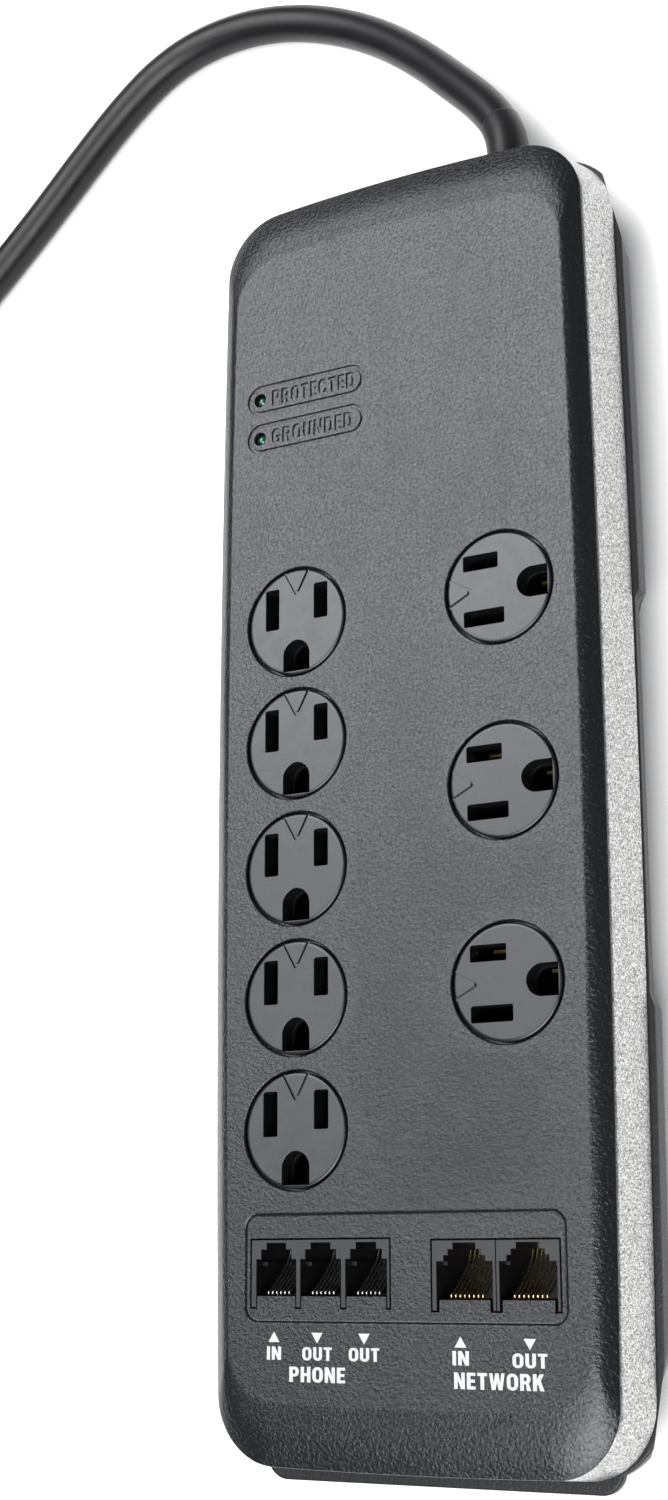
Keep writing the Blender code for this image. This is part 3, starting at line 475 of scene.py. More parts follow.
def natural_spline(route, count=1500):
    knots = np.array(route, float)
    chord = np.r_[0, np.cumsum(np.linalg.norm(np.diff(knots, axis=0), axis=1))]
    n = len(knots)
    h = np.diff(chord)
    left, rhs = np.eye(n), np.zeros((n, 3))
    for i in range(1, n - 1):
        left[i, i - 1:i + 2] = h[i - 1], 2 * (h[i - 1] + h[i]), h[i]
        rhs[i] = 6 * ((knots[i + 1] - knots[i]) / h[i] - (knots[i] - knots[i - 1]) / h[i - 1])
    second = np.linalg.solve(left, rhs)
    out = []
    for s in np.linspace(0, chord[-1], count):
        i = int(np.clip(np.searchsorted(chord, s) - 1, 0, n - 2))
        a, b = (chord[i + 1] - s) / h[i], (s - chord[i]) / h[i]
        out.append(a * knots[i] + b * knots[i + 1]
                   + ((a ** 3 - a) * second[i] + (b ** 3 - b) * second[i + 1]) * h[i] ** 2 / 6)
    return np.array(out)


def lengths(points):
    return np.r_[0, np.cumsum(np.linalg.norm(np.diff(points, axis=0), axis=1))]


def resample(points, spacing=None, start=0.0, end=None, count=None):
    along = lengths(points)
    end = along[-1] if end is None else end
    if count is None:
        count = max(2, int(round((end - start) / spacing)) + 1)
    return np.array([[np.interp(s, along, points[:, k]) for k in range(3)] for s in np.linspace(start, end, count)])


def tube(name, points, diameter, mat, radii=None, resolution=6):
    curve = bpy.data.curves.new(name, "CURVE")
    curve.dimensions = "3D"
    curve.bevel_depth = diameter / 2 * MM
    curve.bevel_resolution = resolution
    curve.use_fill_caps = True
    spline = curve.splines.new("POLY")
    spline.points.add(len(points) - 1)
    for i, (point, co) in enumerate(zip(spline.points, points)):
        point.co = (*(Vector(co) * MM), 1)
        point.radius = 1.0 if radii is None else radii[i]
    spline.use_smooth = True
    obj = bpy.data.objects.new(name, curve)
    pieces.objects.link(obj)
    give(obj, mat)
    return obj


# ------------------------------------------------------------------ the cord, first
CORD_D = 9.4
BOOT_OUT = 13.0
COIL = np.array((-218.0, 173.9))
R_OUT, R_IN = 61.0, 39.3
Z_LOW, Z_HIGH = 6.1, 15.58
ROUTE = (
    (22.8, 148.0, 15.0), (22.0, 156.0, 14.9), (18.3, 163.8, 14.0), (9.0, 174.9, 11.8),
    (-1.6, 186.2, 9.2), (-14.2, 197.5, 6.8), (-26.5, 205.8, 5.3), (-41.3, 212.3, 4.8),
    (-54.5, 215.2, 4.75), (-68.0, 215.2, 4.75), (-81.8, 211.5, 4.75), (-95.4, 202.8, 4.75),
    (-108.8, 191.0, 4.75), (-121.2, 179.2, 4.75), (-133.7, 167.7, 4.8), (-155.5, 148.1, 5.4),
    (-177.4, 128.4, 6.1),
)
route = natural_spline(ROUTE)
run = resample(route, 4.0, BOOT_OUT - 0.4)

START = math.radians(-48.3)
TURNS = (1800.0 - 48.3) / 360.0
IN_TURNS, CLIMB = 2.27, 0.30


def coil_point(turns):
    if turns < IN_TURNS:
        r, z = R_OUT - (R_OUT - R_IN) * turns / IN_TURNS, Z_LOW
    elif turns < IN_TURNS + CLIMB:
        t = (turns - IN_TURNS) / CLIMB
        r, z = R_IN, Z_LOW + (Z_HIGH - Z_LOW) * t * t * (3 - 2 * t)
    else:
        t = (turns - IN_TURNS - CLIMB) / (TURNS - IN_TURNS - CLIMB)
        r, z = R_IN + (R_OUT - R_IN) * t, Z_HIGH
    a = START - 2 * math.pi * turns
    return (COIL[0] + r * math.cos(a), COIL[1] + r * math.sin(a), z)


coil_points = np.array([coil_point(t) for t in np.linspace(0, TURNS, 460)])
LEAD_X = -218.0 + 61.0
BOOT_TIP = 173.9 - 74.0
lead = natural_spline(((LEAD_X, 173.9, Z_HIGH), (LEAD_X, 155.0, Z_HIGH), (LEAD_X, 140.0, 15.62),
                       (LEAD_X, 129.9, 15.4), (LEAD_X, (129.9 + BOOT_TIP) / 2, 14.4),
                       (LEAD_X, BOOT_TIP + 6.0, 13.0), (LEAD_X, BOOT_TIP + 0.15, 12.9)), 400)
whole = np.vstack([run[:-1], coil_points, resample(lead, 4.0)[1:]])
cord_points = resample(whole, 3.2)
CORD_LENGTH = lengths(whole)[-1] * MM
cord = tube("mains_cord", cord_points, CORD_D, M_CORD, None, 6)
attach(cord, "casing")
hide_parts("cord_run", "cord_coil", "cord_lead")
print("cord length m", CORD_LENGTH)


# ------------------------------------------------------------------ floor and light
bm = bmesh.new()
bmesh.ops.create_grid(bm, x_segments=2, y_segments=2, size=4.0)
floor = obj_from("floor", bm, None, scene.collection, 0)
n = Nodes("floor_paper", (0.86, 0.86, 0.86), 0.75)
n.colour(n.ramp(n.noise(2.0, 2.0, 0.5), [(0.3, (0.91, 0.91, 0.91)), (0.7, (0.94, 0.94, 0.94))]))
give(floor, n.mat)

world = bpy.data.worlds.new("studio")
scene.world = world
world.use_nodes = True
world.node_tree.nodes["Background"].inputs["Color"].default_value = (0.92, 0.95, 1.0, 1)
world.node_tree.nodes["Background"].inputs["Strength"].default_value = 0.22


def area_light(name, where, target, size, power, colour=(1, 1, 1)):
    data = bpy.data.lights.new(name, "AREA")
    data.shape = "RECTANGLE"
    data.size, data.size_y = size
    data.energy = power
    data.color = colour
    light = bpy.data.objects.new(name, data)
    scene.collection.objects.link(light)
    light.location = where
    light.rotation_euler = (Vector(target) - Vector(where)).to_track_quat("-Z", "Y").to_euler()
    return light


area_light("key_softbox", (-0.64, 0.53, 1.25), (-0.64, 0.53, 0.0), (1.1, 1.36), 21.0)
area_light("key_inner", (-0.64, 1.06, 1.26), (-0.64, 1.06, 0.0), (0.9, 1.4), 15.8)
area_light("front_softbox", (0.2, -0.8, 1.25), (0.02, 0.0, 0.0), (1.1, 1.1), 38.0)
scene.view_settings.view_transform = "Standard"
scene.view_settings.look = "None"

# ------------------------------------------------------------------ outlet cover
HALF_W, HALF_L, EDGE_Z = 47.6, 144.9, 29.1
LEFT_X, RIGHT_X, FIRST_Y = -25.4, 25.4, 39.2
OUTLETS = ([(LEFT_X, FIRST_Y - 28.575 * i, 0.0) for i in range(5)]
           + [(RIGHT_X, FIRST_Y - 42.8625 * i, 90.0) for i in range(3)])
HOLE_R, DISC_R = 12.8, 12.4
LED_XY = ((-35.34, 95.2), (-35.33, 85.5))
SCREWS = [(x, y) for x in (-36.0, 36.0) for y in (-131.0, 131.0)]
FEET = [(x, y) for x in (-34.0, 34.0) for y in (-106.0, 106.0)]
KEYHOLES = ((0.0, 92.0), (0.0, -92.0))
SWITCH = (-18.0, 144.0, 12.2)
GLAND = (22.8, 15.0)


def smooth_profile(knots, steps):
    """Rings between the cover's knots on a monotone curve, (half width, half length, radius, height)."""
    knots = np.array(knots, float)
    t = np.r_[0, np.cumsum(np.hypot(np.diff(knots[:, 0]) + np.diff(knots[:, 1]), np.diff(knots[:, 3])))]
    out = []
    slope = np.zeros_like(knots)
    d = np.diff(knots, axis=0) / np.diff(t)[:, None]
    slope[0], slope[-1] = d[0], d[-1]
    for i in range(1, len(knots) - 1):
        slope[i] = (d[i - 1] + d[i]) / 2
    for s in np.linspace(0, t[-1], steps):
        i = int(np.clip(np.searchsorted(t, s) - 1, 0, len(t) - 2))
        h = t[i + 1] - t[i]
        u = (s - t[i]) / h
        out.append(tuple((2 * u ** 3 - 3 * u ** 2 + 1) * knots[i] + (u ** 3 - 2 * u ** 2 + u) * h * slope[i]
                         + (3 * u ** 2 - 2 * u ** 3) * knots[i + 1] + (u ** 3 - u ** 2) * h * slope[i + 1]))
    return out


bevel = smooth_profile([(HALF_W - 0.06, HALF_L - 0.1, 14.0, EDGE_Z + 0.1), (46.3, 142.0, 13.2, 30.25),
                        (44.9, 138.0, 12.2, 31.3), (43.7, 133.2, 11.2, 31.9)], 12)
bm = bmesh.new()
casing_loft(bm, [
    (41.6, 139.0, 8.5, 29.4), (42.4, 139.7, 9.0, 20.0), (44.6, 141.9, 11.0, 20.0), (44.8, 142.1, 11.2, 28.5),
    (HALF_W - 0.35, HALF_L - 0.35, 13.7, 28.5), (HALF_W - 0.1, HALF_L - 0.1, 13.9, 28.6),
    (HALF_W, HALF_L, 14.0, 28.85), (HALF_W, HALF_L, 14.0, EDGE_Z - 0.05)] + bevel
    + [(43.45, 132.5, 11.0, 31.965), (43.2, 132.0, 10.9, 32.0)])
cover = obj_from("outlet_cover", bm, M_COVER)


def tool(name, build, angle=0):
    bm = bmesh.new()
    build(bm)
    return obj_from(name, bm, None, tools, angle)


PHONE_BLOCK, NETWORK_BLOCK = (-36.6, -112.0, -3.0, -98.0), (6.8, -112.45, 35.4, -98.4)
PHONE_X, PHONE_W = (-30.4, -19.5, -8.55), 9.8
NETWORK_X, NETWORK_W = (14.2, 28.4), 12.6


def window_outline(block, centres, width, side_gap, tongue, gap=0.22):
    """Outline of the cut-out for a jack block, with the casing tongues left between its side bars."""
    x0, y0, x1, y1 = block
    points = [(x1 + gap, y0 - gap), (x1 + gap, y1 + gap), (x0 - gap, y1 + gap), (x0 - gap, y0 - gap)]
    for cx in centres:
        a, b = cx - width / 2 + side_gap, cx + width / 2 - side_gap
        points += [(a, y0 - gap), (a, tongue - 0.15), (a + 0.15, tongue), (b - 0.15, tongue), (b, tongue - 0.15), (b, y0 - gap)]
    return points


def holes(bm):
    for x, y, _ in OUTLETS:
        stack(bm, circle(x, y, HOLE_R, 96), [(26.0, 0), (31.62, 0), (31.8, 0.05), (31.93, 0.16), (32.0, 0.32), (36.0, 0.32)])
    for x, y in LED_XY:
        stack(bm, circle(x, y, 1.5, 32), [(26.0, 0), (31.75, 0), (32.0, 0.15), (36.0, 0.15)])


def pill(cx0, cx1, y, r, segments=20):
    points = []
    for i in range(segments + 1):
        a = math.radians(-90 + 180 * i / segments)
        points.append((cx1 + r * math.cos(a), y + r * math.sin(a)))
    for i in range(segments + 1):
        a = math.radians(90 + 180 * i / segments)
        points.append((cx0 + r * math.cos(a), y + r * math.sin(a)))
    return points


cut(cover, tool("cover_holes", holes))
cut(cover, tool("jack_recess", lambda bm: stack(bm, rounded_rect(-37.65, -114.85, 36.85, -92.85, 2.9, 10), [
    (31.4, -0.35), (31.45, -0.12), (31.6, 0.02), (31.8, 0.16), (31.92, 0.3), (32.0, 0.52), (36.0, 0.52)])))
for key, block, centres, width, side_gap, tongue in (("phone", PHONE_BLOCK, PHONE_X, PHONE_W, 0.12, -109.6),
                                                     ("network", NETWORK_BLOCK, NETWORK_X, NETWORK_W, 0.5, -110.2)):
    cut(cover, tool(key + "_window", lambda bm: stack(bm, window_outline(block, centres, width, side_gap, tongue), [
        (27.0, 0), (31.28, 0), (31.4, 0.1), (36.0, 0.1)])))
    grow = 0.3
    cut(cover, tool(key + "_room", lambda bm: stack(bm, [
        (block[0] - grow, block[1] - grow), (block[2] + grow, block[1] - grow),
        (block[2] + grow, block[3] + grow), (block[0] - grow, block[3] + grow)], [(26.0, 0), (30.3, 0)])))
for i, (x, y) in enumerate(LED_XY):
    ring = tool(f"pill_outer_{i}", lambda bm: stack(bm, pill(-35.05, -11.2, y, 3.55), [
        (31.58, -0.05), (31.62, 0.02), (31.92, 0.08), (32.0, 0.16), (36.0, 0.16)]))
    cut(ring, tool(f"pill_inner_{i}", lambda bm: stack(bm, pill(-35.05, -11.2, y, 2.95), [
        (30.0, -0.12), (31.6, -0.02), (31.92, -0.08), (32.0, -0.16), (38.0, -0.16)])))
    settle(ring, 0)
    cut(cover, ring)


STEM, BAR = 0.235, 0.185


def bend(cx, cy, r, start, end, steps=6):
    return [(cx + r * math.cos(math.radians(start + (end - start) * i / steps)),
             cy + r * math.sin(math.radians(start + (end - start) * i / steps))) for i in range(steps + 1)]


def glyph(letter):
    """Contours of a plain heavy capital one unit high, and its width."""
    s, b = STEM, BAR
    if letter == "I":
        return [[(0, 0), (s, 0), (s, 1), (0, 1)]], s
    if letter == "T":
        w = 0.62
        return [[((w - s) / 2, 0), ((w + s) / 2, 0), ((w + s) / 2, 1 - b), (w, 1 - b), (w, 1), (0, 1), (0, 1 - b),
                 ((w - s) / 2, 1 - b)]], w
    if letter == "E":
        w, m = 0.55, 0.51
        return [[(0, 0), (w, 0), (w, b), (s, b), (s, 0.5 - b / 2), (m, 0.5 - b / 2), (m, 0.5 + b / 2), (s, 0.5 + b / 2),
                 (s, 1 - b), (w, 1 - b), (w, 1), (0, 1)]], w
    if letter == "H":
        w = 0.67
        return [[(0, 0), (s, 0), (s, 0.5 - b / 2), (w - s, 0.5 - b / 2), (w - s, 0), (w, 0), (w, 1), (w - s, 1),
                 (w - s, 0.5 + b / 2), (s, 0.5 + b / 2), (s, 1), (0, 1)]], w
    if letter == "N":
        w = 0.69
        return [[(0, 0), (s * 0.95, 0), (s * 0.95, 0.55), (w - s * 1.02, 0), (w, 0), (w, 1), (w - s * 0.95, 1),
                 (w - s * 0.95, 0.45), (s * 1.02, 1), (0, 1)]], w
    if letter == "K":
        return [[(0, 0), (s, 0), (s, 0.32), (0.31, 0.42), (0.44, 0), (0.71, 0), (0.48, 0.61), (0.69, 1), (0.43, 1),
                 (s, 0.68), (s, 1), (0, 1)]], 0.71
    if letter == "W":
        return [[(0, 1), (0.15, 0), (0.39, 0), (0.49, 0.5), (0.59, 0), (0.83, 0), (0.98, 1), (0.77, 1), (0.70, 0.42),
                 (0.59, 1), (0.39, 1), (0.28, 0.42), (0.21, 1)]], 0.98
    if letter == "U":
        w, r, q = 0.68, 0.30, 0.1
        return [[(0, 1)] + bend(r, r, r, 180, 270) + bend(w - r, r, r, 270, 360) + [(w, 1), (w - s, 1)]
                + bend(w - s - q, b + q, q, 360, 270) + bend(s + q, b + q, q, 270, 180) + [(s, 1)]], w
    if letter == "O":
        w, r, q = 0.71, 0.33, 0.115
        return [bend(w - r, 1 - r, r, 0, 90) + bend(r, 1 - r, r, 90, 180) + bend(r, r, r, 180, 270)
                + bend(w - r, r, r, 270, 360),
                bend(w - s - q, 1 - b - q, q, 0, 90) + bend(s + q, 1 - b - q, q, 90, 180)
                + bend(s + q, b + q, q, 180, 270) + bend(w - s - q, b + q, q, 270, 360)], w
    if letter == "D":
        w, r, q = 0.68, 0.32, 0.13
        return [[(0, 0)] + bend(w - r, r, r, 270, 360) + bend(w - r, 1 - r, r, 0, 90) + [(0, 1)],
                [(s, b)] + bend(w - s - q, b + q, q, 270, 360) + bend(w - s - q, 1 - b - q, q, 0, 90) + [(s, 1 - b)]], w
    if letter in "PR":
        w, r, q, low = 0.65, 0.28, 0.09, 0.36 if letter == "P" else 0.39
        foot = [(0, 0), (s, 0), (s, low)]
        if letter == "R":
            foot += [(0.36, low), (w - s * 1.02, 0), (w + 0.03, 0), (w - 0.115, low + 0.035)]
            arc = bend(w - r, low + r, r, 315, 360, 4)
        else:
            arc = bend(w - r, low + r, r, 270, 360)
        return [foot + arc + bend(w - r, 1 - r, r, 0, 90) + [(0, 1)],
                [(s, low + b * 0.92)] + bend(w - s - q, low + b * 0.92 + q, q, 270, 360)
                + bend(w - s - q, 1 - b - q, q, 0, 90) + [(s, 1 - b)]], w + (0.02 if letter == "R" else 0)
    w, r, q = 0.69, 0.32, 0.1
    inner = (bend(w - s - q, b + q, q, 360, 270) + bend(s + q, b + q, q, 270, 180) + bend(s + q, 1 - b - q, q, 180, 90)
             + bend(w - s - q, 1 - b - q, q, 90, 0) + [(w - s, 0.65)])
    outer = [(w, 0.65)] + bend(w - r, 1 - r, r, 0, 90) + bend(r, 1 - r, r, 90, 180) + bend(r, r, r, 180, 270)
    if letter == "C":
        return [outer + bend(w - r, r, r, 270, 360) + [(w, 0.35), (w - s, 0.35)] + inner], w
    return [outer + bend(w - r * 0.8, r * 0.8, r * 0.8, 270, 360) + [(w, 0.55), (0.35, 0.55), (0.35, 0.55 - b * 0.9),
                                                                     (w - s, 0.55 - b * 0.9)] + inner], w


def text_mesh(name, body, centre, height, width, z0, z1, mat=None, collection=pieces, gap=0.13):
    """Plain heavy capitals, fitted to a height and a width, as a solid between two heights."""
    placed, x = [], 0.0
    for letter in body:
        contours, w = glyph(letter)
        placed += [[(px + x, py) for px, py in contour] for contour in contours]
        x += w + gap
    total = x - gap
    data = bpy.data.curves.new(name, "CURVE")
    data.dimensions = "2D"
    data.fill_mode = "BOTH"
    data.extrude = 0.5
    for contour in placed:
        clean = [contour[0]]
        for point in contour[1:]:
            if math.dist(point, clean[-1]) > 1e-4:
                clean.append(point)
        spline = data.splines.new("POLY")
        spline.points.add(len(clean) - 1)
        for point, (px, py) in zip(spline.points, clean):
            point.co = (px, py, 0, 1)
        spline.use_cyclic_u = True
    obj = bpy.data.objects.new(name, data)
    scene.collection.objects.link(obj)
    bpy.context.view_layer.update()
    mesh = bpy.data.meshes.new_from_object(obj.evaluated_get(bpy.context.evaluated_depsgraph_get()))
    bpy.data.objects.remove(obj)
    bm = bmesh.new()
    bm.from_mesh(mesh)
    bmesh.ops.remove_doubles(bm, verts=bm.verts, dist=1e-5)
    for v in bm.verts:
        px = (v.co.x / total - 0.5) * width + centre[0]
        py = (v.co.y - 0.5) * height + centre[1]
        v.co = Vector((px, py, z0 if v.co.z < 0 else z1)) * MM
    return obj_from(name, bm, mat, collection, 0)


for i, (word, x0, x1) in enumerate((("PROTECTED", -32.1, -9.9), ("GROUNDED", -32.1, -10.5))):
    letters = text_mesh(f"engraving_{i}", word, ((x0 + x1) / 2, LED_XY[i][1]), 3.8, x1 - x0, 31.6, 33.0, None, tools)
    cut(cover, letters)
settle(cover, 32)
give(cover, M_COVER)
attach(cover, "casing")
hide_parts("top_cover")

# printed legends, a thin layer of ink on the face
for name, word, x, y, w, h in (
        ("legend_in_phone", "IN", -30.48, -121.3, 3.5, 2.7), ("legend_out_phone_1", "OUT", -19.99, -121.3, 7.1, 2.7),
        ("legend_out_phone_2", "OUT", -8.8, -121.3, 7.2, 2.7), ("legend_phone", "PHONE", -20.0, -125.5, 13.4, 3.1),
        ("legend_in_network", "IN", 13.4, -121.6, 3.7, 2.8), ("legend_out_network", "OUT", 28.65, -121.85, 7.6, 2.8),
        ("legend_network", "NETWORK", 21.75, -125.95, 19.8, 3.2)):
    obj = text_mesh(name, word, (x, y), h, w, 31.99, 32.02, M_INK)
    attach(obj, "casing")
for name, x, y, way in (("arrow_1", -30.49, -118.0, 1), ("arrow_2", -19.99, -118.1, -1), ("arrow_3", -8.78, -118.15, -1),
                        ("arrow_4", 13.4, -118.5, 1), ("arrow_5", 28.7, -118.7, -1)):
    bm = bmesh.new()
    outline = [(x - 1.35, y - 1.05 * way), (x + 1.35, y - 1.05 * way), (x, y + 1.1 * way)]
    stack(bm, outline if way > 0 else outline[::-1], [(31.99, 0), (32.02, 0)])
    obj = obj_from(name, bm, M_INK, pieces, 0)
    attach(obj, "casing")

# ------------------------------------------------------------------ silver band
bm = bmesh.new()
casing_loft(bm, [
    (HALF_W - 0.75, HALF_L - 0.75, 13.6, 28.2), (HALF_W - 0.35, HALF_L - 0.35, 13.8, 28.17),
    (HALF_W - 0.12, HALF_L - 0.12, 13.95, 28.02), (HALF_W + 0.05, HALF_L - 0.03, 14.05, 27.7),
    (HALF_W + 0.95, HALF_L + 0.32, 14.35, 24.2), (HALF_W + 1.87, HALF_L + 0.66, 14.65, 20.6),
    (HALF_W + 2.68, HALF_L + 0.95, 14.95, 17.5), (HALF_W + 2.78, HALF_L + 1.0, 15.0, 17.15),
    (HALF_W + 2.6, HALF_L + 0.85, 14.9, 17.0), (HALF_W + 0.6, HALF_L - 1.4, 12.8, 17.0),
    (HALF_W - 2.4, HALF_L - 2.4, 11.6, 28.2)], loop=True)
band = obj_from("silver_band", bm, M_RIM)


def notch(bm):
    outline = rounded_rect(-33.3, 5.0, 33.3, 23.2, 2.2, 8)
    rings_to_faces(bm, [[bm.verts.new(Vector((x, y, z)) * MM) for x, z in outline] for y in (139.0, 152.0)])


cut(band, tool("band_notches", notch))
settle(band, 32)
give(band, M_RIM)
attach(band, "casing")
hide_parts("side_rim")

# ------------------------------------------------------------------ lower shell
bm = bmesh.new()
casing_loft(bm, [
    (44.6, 140.2, 11.6, 1.5), (45.3, 140.9, 11.9, 1.62), (45.95, 141.5, 12.1, 2.1),
    (51.6, 145.4, 15.3, 11.9), (51.85, 145.75, 15.45, 12.6), (51.9, 145.95, 15.5, 13.4),
    (51.9, 146.1, 15.5, 16.35), (51.75, 145.95, 15.4, 16.62), (51.5, 145.7, 15.2, 16.7)])
shell = obj_from("lower_shell", bm, M_BASE)
bm = bmesh.new()
rings = []
for y, g in ((140.5, 0.0), (146.6, 0.0), (147.3, 0.18), (147.75, 0.65), (147.9, 1.2)):
    outline = rounded_rect(-33.0 + g, 3.0 + g, 33.0 - g, 22.9 - g, max(1.6, 2.6 - g), 8)
    rings.append([bm.verts.new(Vector((x, y, z)) * MM) for x, z in outline])
rings_to_faces(bm, rings)
cut(shell, obj_from("cord_end_panel", bm, None, tools), "UNION")
bm = bmesh.new()
stack(bm, rounded_rect(-41.5, -148.2, 41.5, -136.0, 5.0, 12), [
    (11.8, -3.2), (14.1, -0.4), (14.35, -0.12), (14.7, 0), (16.0, 0), (16.35, -0.1), (16.6, -0.38), (16.7, -0.8)])
cut(shell, obj_from("jack_end_lip", bm, None, tools), "UNION")
for side in (1, -1):
    for s, x0, y0, slope in ((1, 51.2, 120.7, 0.235), (-1, 50.9, 123.0, 0.176)):
        bm = bmesh.new()
        rings = []
        for z, lean in ((-1.0, 8.4), (4.0, 6.6), (16.9, 0.0), (20.0, 0.0)):
            line = [(side * (x0 - slope * (y - y0) - lean * min(1.0, (y - 112.0) / 14.0)), s * y)
                    for y in (112.0, 119.0, 126.0, 134.0, 142.0, 150.0)]
            rings.append([bm.verts.new(Vector((x, y, z)) * MM)
                          for x, y in line + [(side * 60.0, s * 150.0), (side * 60.0, s * 112.0)]])
        rings_to_faces(bm, rings)
        cut(shell, obj_from(f"corner_trim_{side}_{s}", bm, None, tools))
for s in (1, -1):
    bm = bmesh.new()
    rings = []
    for y, grow in ((40.0, 1.6), (39.3, 1.45), (37.4, 0.2), (36.6, 0.0), (-48.6, 0.0), (-49.6, 0.2), (-52.8, 1.45), (-53.6, 1.6)):
        rings.append([bm.verts.new(Vector((s * x, y, z)) * MM) for x, z in (
            (50.75 + grow, 20.0), (50.75 + grow, 14.6 - grow), (50.6 + grow, 14.0 - grow),
            (45.6 + grow * 2, 5.5), (45.6 + grow * 2, -1.0), (62.0, -1.0), (62.0, 20.0))])
    rings_to_faces(bm, rings)
    cut(shell, obj_from(f"finger_step_{'right' if s > 0 else 'left'}", bm, None, tools))


def inside(bm):
    casing_loft(bm, [(42.0, 138.0, 19.0, 4.0), (48.0, 143.0, 20.0, 15.5), (48.0, 143.0, 20.0, 30.0)])


def boxes(*ranges):
    def build(bm):
        for (x0, y0, z0), (x1, y1, z1) in ranges:
            stack(bm, [(x0, y0), (x1, y0), (x1, y1), (x0, y1)], [(z0, 0), (z1, 0)])
    return build


cut(shell, tool("shell_inside", inside))
cut(shell, tool("panel_inside", boxes(((-30.4, 136, 4.8), (30.4, 145.4, 21.8)))))
cut(shell, tool("bosses", lambda bm: [stack(bm, circle(x, y, 5.0, 32), [(3.0, 0), (5.8, 0)]) for x, y in SCREWS]), "UNION")
cut(shell, tool("counterbores", lambda bm: [stack(bm, circle(x, y, r, 48), [(-1.0, 0.35), (1.5, 0.35), (1.85, 0), (z, 0)])
                                            for spots, r, z in ((SCREWS, 3.5, 4.1), (FEET, 6.3, 2.4)) for x, y in spots]))


def floor_holes(bm):
    for x, y in SCREWS:
        stack(bm, circle(x, y, 1.8, 24), [(3.0, 0), (8.0, 0)])
    for x, y in KEYHOLES:
        outline = []
        for i in range(33):
            a = math.radians(90 + 31 + (360 - 62) * i / 32)
            outline.append((x + 4.3 * math.cos(a), y + 4.3 * math.sin(a)))
        for i in range(17):
            a = math.radians(180 * i / 16)
            outline.append((x + 2.2 * math.cos(a), y + 9.0 + 2.2 * math.sin(a)))
        stack(bm, outline, [(0.0, 0.3), (1.5, 0.3), (1.8, 0), (6.0, 0)])


cut(shell, tool("floor_holes", floor_holes))
# blank label panel, a shallow recess in the underside
cut(shell, tool("label_panel", lambda bm: stack(bm, rounded_rect(-24, -42, 24, 42, 3.0, 10), [
    (0.5, 0.35), (1.5, 0.35), (1.75, 0.1), (1.9, 0)])))


def end_openings(bm):
    rings = []
    for y, g in ((140.2, 0), (147.5, 0), (147.9, 0.35), (150.0, 0.35)):
        rings.append([bm.verts.new(Vector((GLAND[0] + (5.8 + g) * math.cos(2 * math.pi * i / 48), y,
                                           GLAND[1] + (5.8 + g) * math.sin(2 * math.pi * i / 48))) * MM) for i in range(48)])
    rings_to_faces(bm, rings)
    rings = []
    for y, g in ((143.0, 0), (147.6, 0), (147.9, 0.25), (150.0, 0.25)):
        rings.append([bm.verts.new(Vector((x, y, z)) * MM) for x, z in
                      rounded_rect(SWITCH[0] - 11 - g, SWITCH[2] - 7.7 - g, SWITCH[0] + 11 + g, SWITCH[2] + 7.7 + g, 1.0, 6)])
    rings_to_faces(bm, rings)


cut(shell, tool("end_openings", end_openings))
settle(shell, 32)
give(shell, M_BASE)
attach(shell, "casing")
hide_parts("base_tray")


# ------------------------------------------------------------------ outlets
def ground_outline(grow=0.0, shift=0.0, segments=20):
    r = 3.3 + grow
    cy = -4.45 + shift - 3.3
    return [(r * math.cos(math.radians(180 * i / segments)), cy + r * math.sin(math.radians(180 * i / segments)))
            for i in range(segments + 1)] + [(-r, -11.45 + shift - grow), (r, -11.45 + shift - grow)]


def slot_outline(x, y0, y1, half, r=0.25):
    return rounded_rect(x - half, y0, x + half, y1, r, 4)


disc = turned("disc_master", [
    (0, 31.85), (11.6, 31.85), (12.0, 31.83), (12.22, 31.74), (12.36, 31.58), (12.4, 31.35), (12.4, 29.1),
    (13.6, 29.1), (13.6, 27.9), (0, 27.9)], M_DISC, 96)


def disc_slots(bm):
    lip = [(20, 0), (31.62, 0), (31.8, 0.08), (31.85, 0.16), (40, 0.16)]
    stack(bm, slot_outline(-6.35, -1.1, 8.3, 1.65), lip)
    stack(bm, slot_outline(6.35, 0.2, 8.3, 1.65), lip)
    stack(bm, ground_outline(), lip)


def v_mark(bm):
    # a narrow groove round a small wedge at the rim, opposite the earth hole
    def wedge(d):
        tip, half = 7.45 - d * 2.1, 2.5 + d * 1.1
        slope = (13.2 - tip) / (half * 1.33)
        pts = [(-half * 1.33, 13.2)]
        for i in range(9):
            a = math.radians(205 + 130 * i / 8)
            pts.append((0.62 * math.cos(a), tip + 0.72 + 0.72 * math.sin(a)))
        return pts + [(half * 1.33, 13.2)]
    outer, inner = wedge(0.52), wedge(0.0)
    ring = outer[::-1]
    n = len(ring)
    # groove between the outer and inner wedge
    pts = [(outer[0][0], 13.2)] + outer[1:-1] + [(outer[-1][0], 13.2), (inner[-1][0], 13.2)] + inner[-2:0:-1] + [(inner[0][0], 13.2)]
    rings = [[bm.verts.new(Vector((x, y, z)) * MM) for x, y in pts] for z in (31.35, 36.0)]
    rings_to_faces(bm, rings)


cut(disc, tool("disc_slots", disc_slots))
cut(disc, tool("disc_v_mark", v_mark))
settle(disc, 32)
disc_mesh = disc.data
bpy.data.objects.remove(disc)

# sockets behind them: a shaped mouth over a wider cavity for the contact leaves
bm = bmesh.new()
stack(bm, rounded_rect(-15, -13.8, 15, 13.8, 0.8, 4), [(9.5, -0.3), (9.8, 0), (27.2, 0), (27.5, -0.3)])
block = obj_from("socket_master", bm, M_SOCKET)


